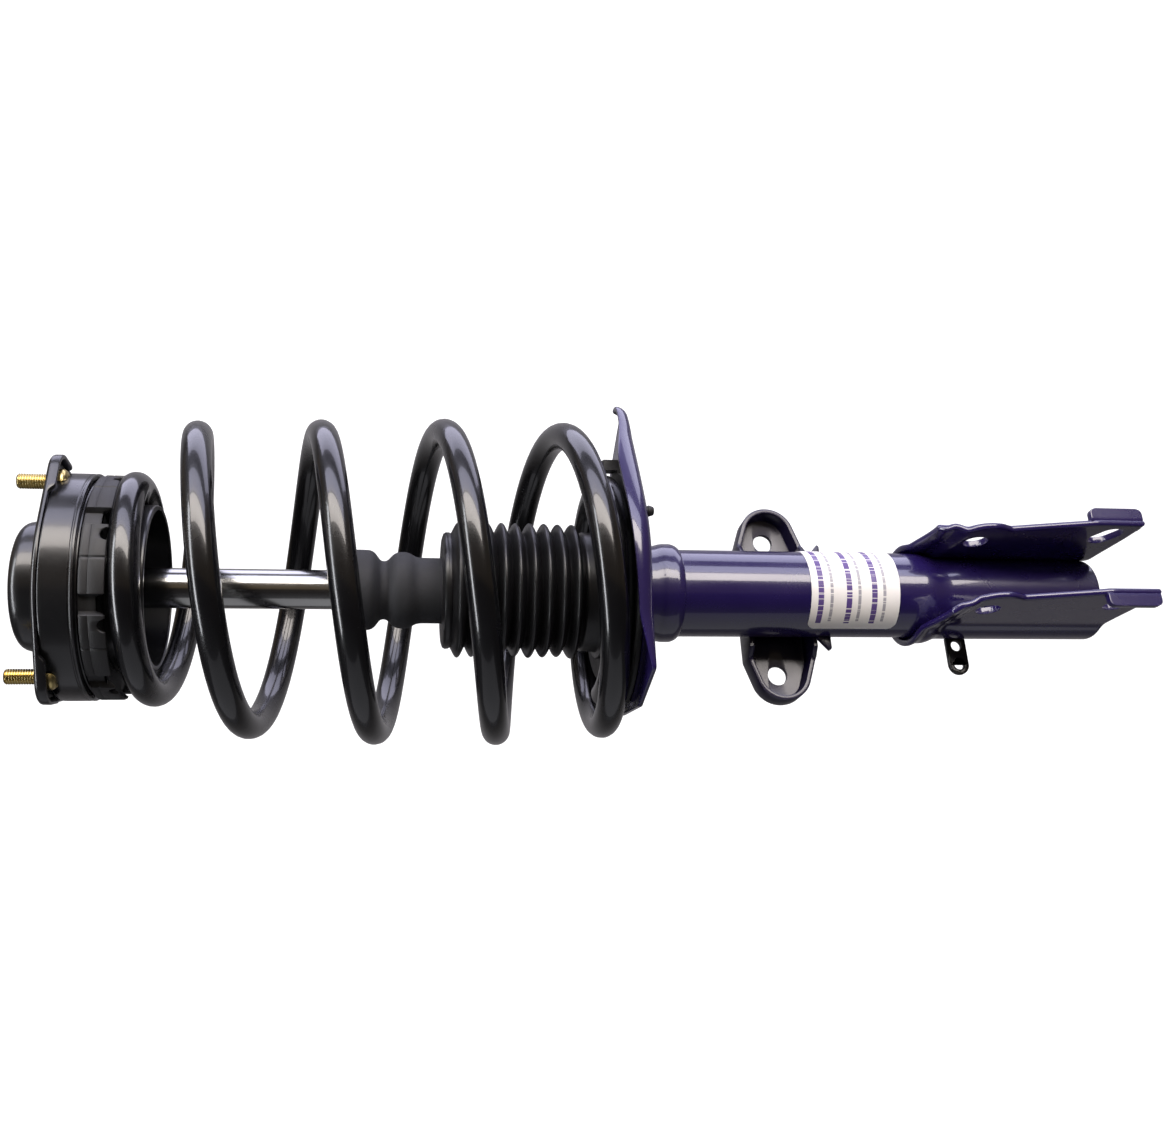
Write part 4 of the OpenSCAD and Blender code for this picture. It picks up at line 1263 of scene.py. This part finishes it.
def makeKnuckle():
    v = knuckleValues
    half = v["sheet"] / 2
    rowCount, arcCols, earCols = 150, 28, 34
    zs = [v["top"] + (v["bottom"] - v["top"]) * i / rowCount for i in range(rowCount + 1)]
    reaches = smoothLine([earReach(z) for z in zs], 6)
    rows = []
    for i, z in enumerate(zs):
        grow = (v["wide"] - v["narrow"]) * smooth((z - v["swageEnd"] + 1) / (v["swageTop"] - v["swageEnd"]))
        grow += v["lipFlare"] * smooth((z - v["top"] + 7) / 7.0)
        radius = v["narrow"] + half + grow
        earX = v["ear"] + half + grow
        joinY = -math.sqrt(max(1.0, radius ** 2 - earX ** 2))
        start = math.atan2(joinY, earX)          # angle at which the ear leaves the round part
        line = []
        for k in range(arcCols + 1):
            a = math.pi / 2 + (start - math.pi / 2) * k / arcCols
            line.append(Vector((radius * math.cos(a), radius * math.sin(a), 0)))
        reach = reaches[i]
        for k in range(1, earCols + 1):
            line.append(Vector((earX, joinY + (-reach - joinY) * k / earCols, 0)))
        mirrored = [Vector((-p.x, p.y, 0)) for p in reversed(line[1:])]
        whole = closerEnds(smoothLine(mirrored + line, 5))
        out = []
        for p in whole:
            drop = smooth((-p.y - 8) / 50.0)
            # the upper edge falls away towards the ear's front, the lower edge runs a little lower there
            topShift = -7.0 * smooth((-p.y - 4) / 38.0) * (1 - i / rowCount) ** 3
            low = -4.0 * drop * (i / rowCount) ** 3
            out.append(Vector((p.x, p.y, z + topShift + low)))
        rows.append(out)
    ends = [[a.lerp(b, f) for a, b in zip(rows[i], rows[j])] for i, j in ((0, 1), (-1, -2))
            for f in (0.3, 0.65)]
    rows = [rows[0], ends[0], ends[1]] + rows[1:-1] + [ends[3], ends[2], rows[-1]]
    verts, faces = sheetGrid(rows, v["sheet"], 1.5)
    piece = addPiece("knuckleBracket", verts, faces, "indigoPaint", "housing", "indigo_paint",
                     ["knuckle_bracket"])
    cuts = []
    cuts.append(rodShape(v["bolt"], (-40, -v["boltReach"], v["boltZ"]), (40, -v["boltReach"], v["boltZ"]),
                         64))
    cuts.append(slotShape())
    combine(piece, [flangeShape(side) for side in (-1, 1)], "UNION")
    combine(piece, cuts, "DIFFERENCE")
    soften(piece, 0.9, 3, 42)
    return piece


def slotShape():
    v = knuckleValues
    t = math.radians(v["slotTilt"])
    way = Vector((-math.cos(t), -math.sin(t)))   # across (-Y) and down
    centre = Vector((-v["slotReach"], v["slotZ"]))
    ring = []
    for k in range(64):
        a = 2 * math.pi * k / 64
        n = Vector((math.cos(a), math.sin(a)))
        ring.append(centre + way * (v["slotExtra"] / 2 if n.dot(way) > 0 else -v["slotExtra"] / 2)
                    + n * v["bolt"])
    verts = [(x, p.x, p.y) for x in (-40, 40) for p in ring]
    return verts, prismFaces(64)


def flangeShape(side):
    # end of the ear turned outwards, with rounded corners
    v = knuckleValues
    half = v["sheet"] / 2
    top, foot = v["flangeTop"], v["bottom"] - 3.4
    bend = 3.0
    x0 = v["ear"] + half
    y0 = -v["reach"] + half
    way = [Vector((x0, y0 + bend + 3, 0)), Vector((x0, y0 + bend, 0))]
    for k in range(1, 7):
        a = math.radians(90 * k / 6)
        way.append(Vector((x0 + bend - bend * math.cos(a), y0 + bend - bend * math.sin(a), 0)))
    end = v["ear"] + v["sheet"] + v["flangeOut"]
    for k in range(1, 9):
        way.append(Vector((x0 + bend + (end - x0 - bend) * k / 8, y0, 0)))
    rows = []
    count = 40
    for p in way:
        past = max(0.0, p.x - (end - 3.5))
        cut = 3.5 - math.sqrt(max(0.0, 3.5 ** 2 - past ** 2))
        line = []
        for i in range(count + 1):
            z = top - cut + (foot + 2 * cut - top) * i / count
            line.append(Vector((side * p.x, p.y, z)))
        rows.append(line)
    return sheetGrid(rows, v["sheet"])


makeKnuckle()
print("brackets made")

# ---- hose bracket

hoseValues = {"z": -512.5, "half": 6.3, "first": 29.85, "spacing": 11.6, "hole": 3.2, "near": 6.0,
              "sheet": 3.0}


def makeHoseBracket():
    v = hoseValues
    outline = []
    far = -v["first"] - v["spacing"]
    for k in range(25):
        a = math.pi / 2 + math.pi * k / 24
        outline.append((far + v["half"] * math.cos(a), v["half"] * math.sin(a)))
    outline += [(-20.5, -v["half"]), (-20.5, v["half"])]
    count = len(outline)
    verts = [(x, y, v["z"] + z) for y in (v["near"], v["near"] + v["sheet"]) for x, z in outline]
    piece = addPiece("hoseBracket", verts, prismFaces(count), "mountBlack", "housing", "mount_black",
                     ["hose_bracket"])
    cuts = [rodShape(26.2, (0, 0, v["z"] - 20), (0, 0, v["z"] + 20), 120)]
    for i in (0, 1):
        x = -v["first"] - i * v["spacing"]
        cuts.append(rodShape(v["hole"], (x, 0, v["z"]), (x, 20, v["z"]), 40))
    combine(piece, cuts, "DIFFERENCE")
    soften(piece, 0.6, 3, 40)
    return piece


makeHoseBracket()

# ---- label: printed film round the tube

labelValues = {"low": -467.0, "high": -413.0, "first": -161.0, "span": 166.0, "radius": 25.4, "film": 0.28,
               "corner": 5.0}


def makeLabelMaterial():
    # generic print only: bars in place of lines of words
    v = labelValues
    material, tree, shader = startMaterial("labelFilm")
    link = tree.links.new
    coord = addNode(tree, "ShaderNodeTexCoord")
    split = addNode(tree, "ShaderNodeSeparateXYZ")
    link(coord.outputs["Object"], split.inputs["Vector"])
    angle = addNode(tree, "ShaderNodeMath", {"operation": "ARCTAN2"})
    link(split.outputs["Y"], angle.inputs[0])
    link(split.outputs["X"], angle.inputs[1])

    def remap(value, low, high):
        node = addNode(tree, "ShaderNodeMapRange", {"clamp": False}, {"From Min": low, "From Max": high})
        link(value, node.inputs["Value"])
        return node.outputs["Result"]

    def math2(operation, a, b=None):
        node = addNode(tree, "ShaderNodeMath", {"operation": operation})
        for i, value in enumerate((a, b)):
            if value is None:
                continue
            if isinstance(value, (int, float)):
                node.inputs[i].default_value = value
            else:
                link(value, node.inputs[i])
        return node.outputs["Value"]

    along = remap(split.outputs["Z"], v["high"] * mm, v["low"] * mm)
    round_ = remap(angle.outputs["Value"], math.radians(v["first"]), math.radians(v["first"] + v["span"]))

    def band(value, low, high):
        return math2("MULTIPLY", math2("GREATER_THAN", value, low), math2("LESS_THAN", value, high))

    def patch(a0, a1, r0, r1):
        return math2("MULTIPLY", band(along, a0, a1), band(round_, r0, r1))

    # lines of words: each column of the print holds rows broken into word lengths
    def words(a0, a1, lines, r0, r1, seed, weight):
        row = math2("MULTIPLY", math2("SUBTRACT", along, a0), lines / (a1 - a0))
        inside = math2("LESS_THAN", math2("ABSOLUTE", math2("SUBTRACT", math2("FRACT", row), 0.5)), weight)
        cell = addNode(tree, "ShaderNodeCombineXYZ")
        link(math2("ADD", math2("FLOOR", row), seed), cell.inputs["X"])
        link(math2("MULTIPLY", round_, 44.0), cell.inputs["Y"])
        noise = addNode(tree, "ShaderNodeTexNoise", {"noise_dimensions": "2D"},
                        {"Scale": 1.0, "Detail": 2.5, "Roughness": 0.9})
        link(cell.outputs["Vector"], noise.inputs["Vector"])
        broken = math2("GREATER_THAN", noise.outputs["Fac"], 0.42)
        return math2("MULTIPLY", math2("MULTIPLY", inside, broken), patch(a0, a1, r0, r1))

    # three notices, each a bold violet line with a thin grey one beside it
    violet = words(0.072, 0.142, 1, 0.06, 0.93, 3.0, 0.44)
    grey = words(0.20, 0.256, 1, 0.08, 0.93, 17.0, 0.30)
    for i, (bold, thin) in enumerate(((0.390, 0.513), (0.675, 0.795))):
        violet = math2("MAXIMUM", violet, words(bold, bold + 0.07, 1, 0.06, 0.93, 5.0 + i, 0.44))
        grey = math2("MAXIMUM", grey, words(thin, thin + 0.056, 1, 0.08, 0.93, 23.0 + i, 0.30))
    paper = (0.80, 0.775, 0.735)
    stain = addNode(tree, "ShaderNodeTexNoise", inputs={"Scale": 55.0, "Detail": 4.0})
    link(coord.outputs["Object"], stain.inputs["Vector"])
    base = mixColors(tree, stain.outputs["Fac"], paper, (0.86, 0.84, 0.81))
    base = mixColors(tree, violet, base, (0.10, 0.06, 0.22))
    base = mixColors(tree, grey, base, (0.34, 0.33, 0.36))
    link(base, shader.inputs["Base Color"])
    shader.inputs["Roughness"].default_value = 0.38
    fibre = addNode(tree, "ShaderNodeTexNoise", inputs={"Scale": 700.0, "Detail": 2.0})
    link(coord.outputs["Object"], fibre.inputs["Vector"])
    link(bumpFrom(tree, fibre.outputs["Fac"], 0.06, 0.0003), shader.inputs["Normal"])
    return material


materials["labelFilm"] = makeLabelMaterial()


def makeLabel():
    v = labelValues
    rows = []
    count, lines = 120, 24
    width = math.radians(v["span"]) * v["radius"]
    middleZ, half = (v["low"] + v["high"]) / 2, (v["high"] - v["low"]) / 2
    for k in range(count + 1):
        # finer steps near the rounded corners
        s = 0.5 - 0.5 * math.cos(math.pi * k / count)
        a = math.radians(v["first"] + v["span"] * s)
        past = max(0.0, v["corner"] - min(s, 1 - s) * width)
        cut = v["corner"] - math.sqrt(max(0.0, v["corner"] ** 2 - past ** 2))
        line = []
        for i in range(lines + 1):
            z = middleZ + (half - cut) * (1 - 2 * i / lines)
            lift = 0.12 * smooth(1 - min(s, 1 - s) * width / 1.2)
            r = v["radius"] + 0.03 + v["film"] / 2 + lift
            line.append(Vector(onCircle(r, a, z)))
        rows.append(line)
    verts, faces = sheetGrid(rows, v["film"])
    return addPiece("tubeLabel", verts, faces, "labelFilm", "housing", "label_film", ["tube_label"])


makeLabel()
print("hose bracket and label made")

# ---- small CAD pieces keep their shape and get rounded edges

for name, width in (("rod_nut", 0.5), ("rod_washers", 0.3), ("center_sleeve", 0.3), ("piston_nut", 0.5),
                    ("tube_cap", 0.4)):
    bevel = nodes[name].modifiers.new("edges", "BEVEL")
    bevel.width = width * mm
    bevel.segments = 2
    bevel.limit_method = "ANGLE"
    bevel.angle_limit = math.radians(40)
for part in frame["record"]["subparts"]:
    mesh = nodes[part["node"]].data
    mesh.polygons.foreach_set("use_smooth", [True] * len(mesh.polygons))
    mesh.set_sharp_from_angle(angle=math.radians(35))

# ---- backdrop


def makeFloor():
    # wide white backdrop that the strut hangs in front of
    material, tree, shader = startMaterial("floorWhite")
    coord = addNode(tree, "ShaderNodeTexCoord")
    noise = addNode(tree, "ShaderNodeTexNoise", inputs={"Scale": 14.0, "Detail": 3.0})
    tree.links.new(coord.outputs["Object"], noise.inputs["Vector"])
    tree.links.new(mixColors(tree, noise.outputs["Fac"], (0.24, 0.24, 0.24), (0.27, 0.27, 0.27)),
                   shader.inputs["Base Color"])
    shader.inputs["Roughness"].default_value = 0.7
    shader.inputs["Emission Color"].default_value = (1, 1, 1, 1)
    path = addNode(tree, "ShaderNodeLightPath")
    tree.links.new(path.outputs["Is Camera Ray"], shader.inputs["Emission Strength"])
    half, centre = 2.6, middle - 1.35 * viewBack
    corners = [centre + half * (x * viewRight + y * viewUp) for x, y in ((-1, -1), (1, -1), (1, 1), (-1, 1))]
    mesh = bpy.data.meshes.new("floor")
    mesh.from_pydata([tuple(c) for c in corners], [], [(0, 1, 2, 3)])
    mesh.materials.append(material)
    floor = bpy.data.objects.new("floor", mesh)
    bpy.context.scene.collection.objects.link(floor)


makeFloor()
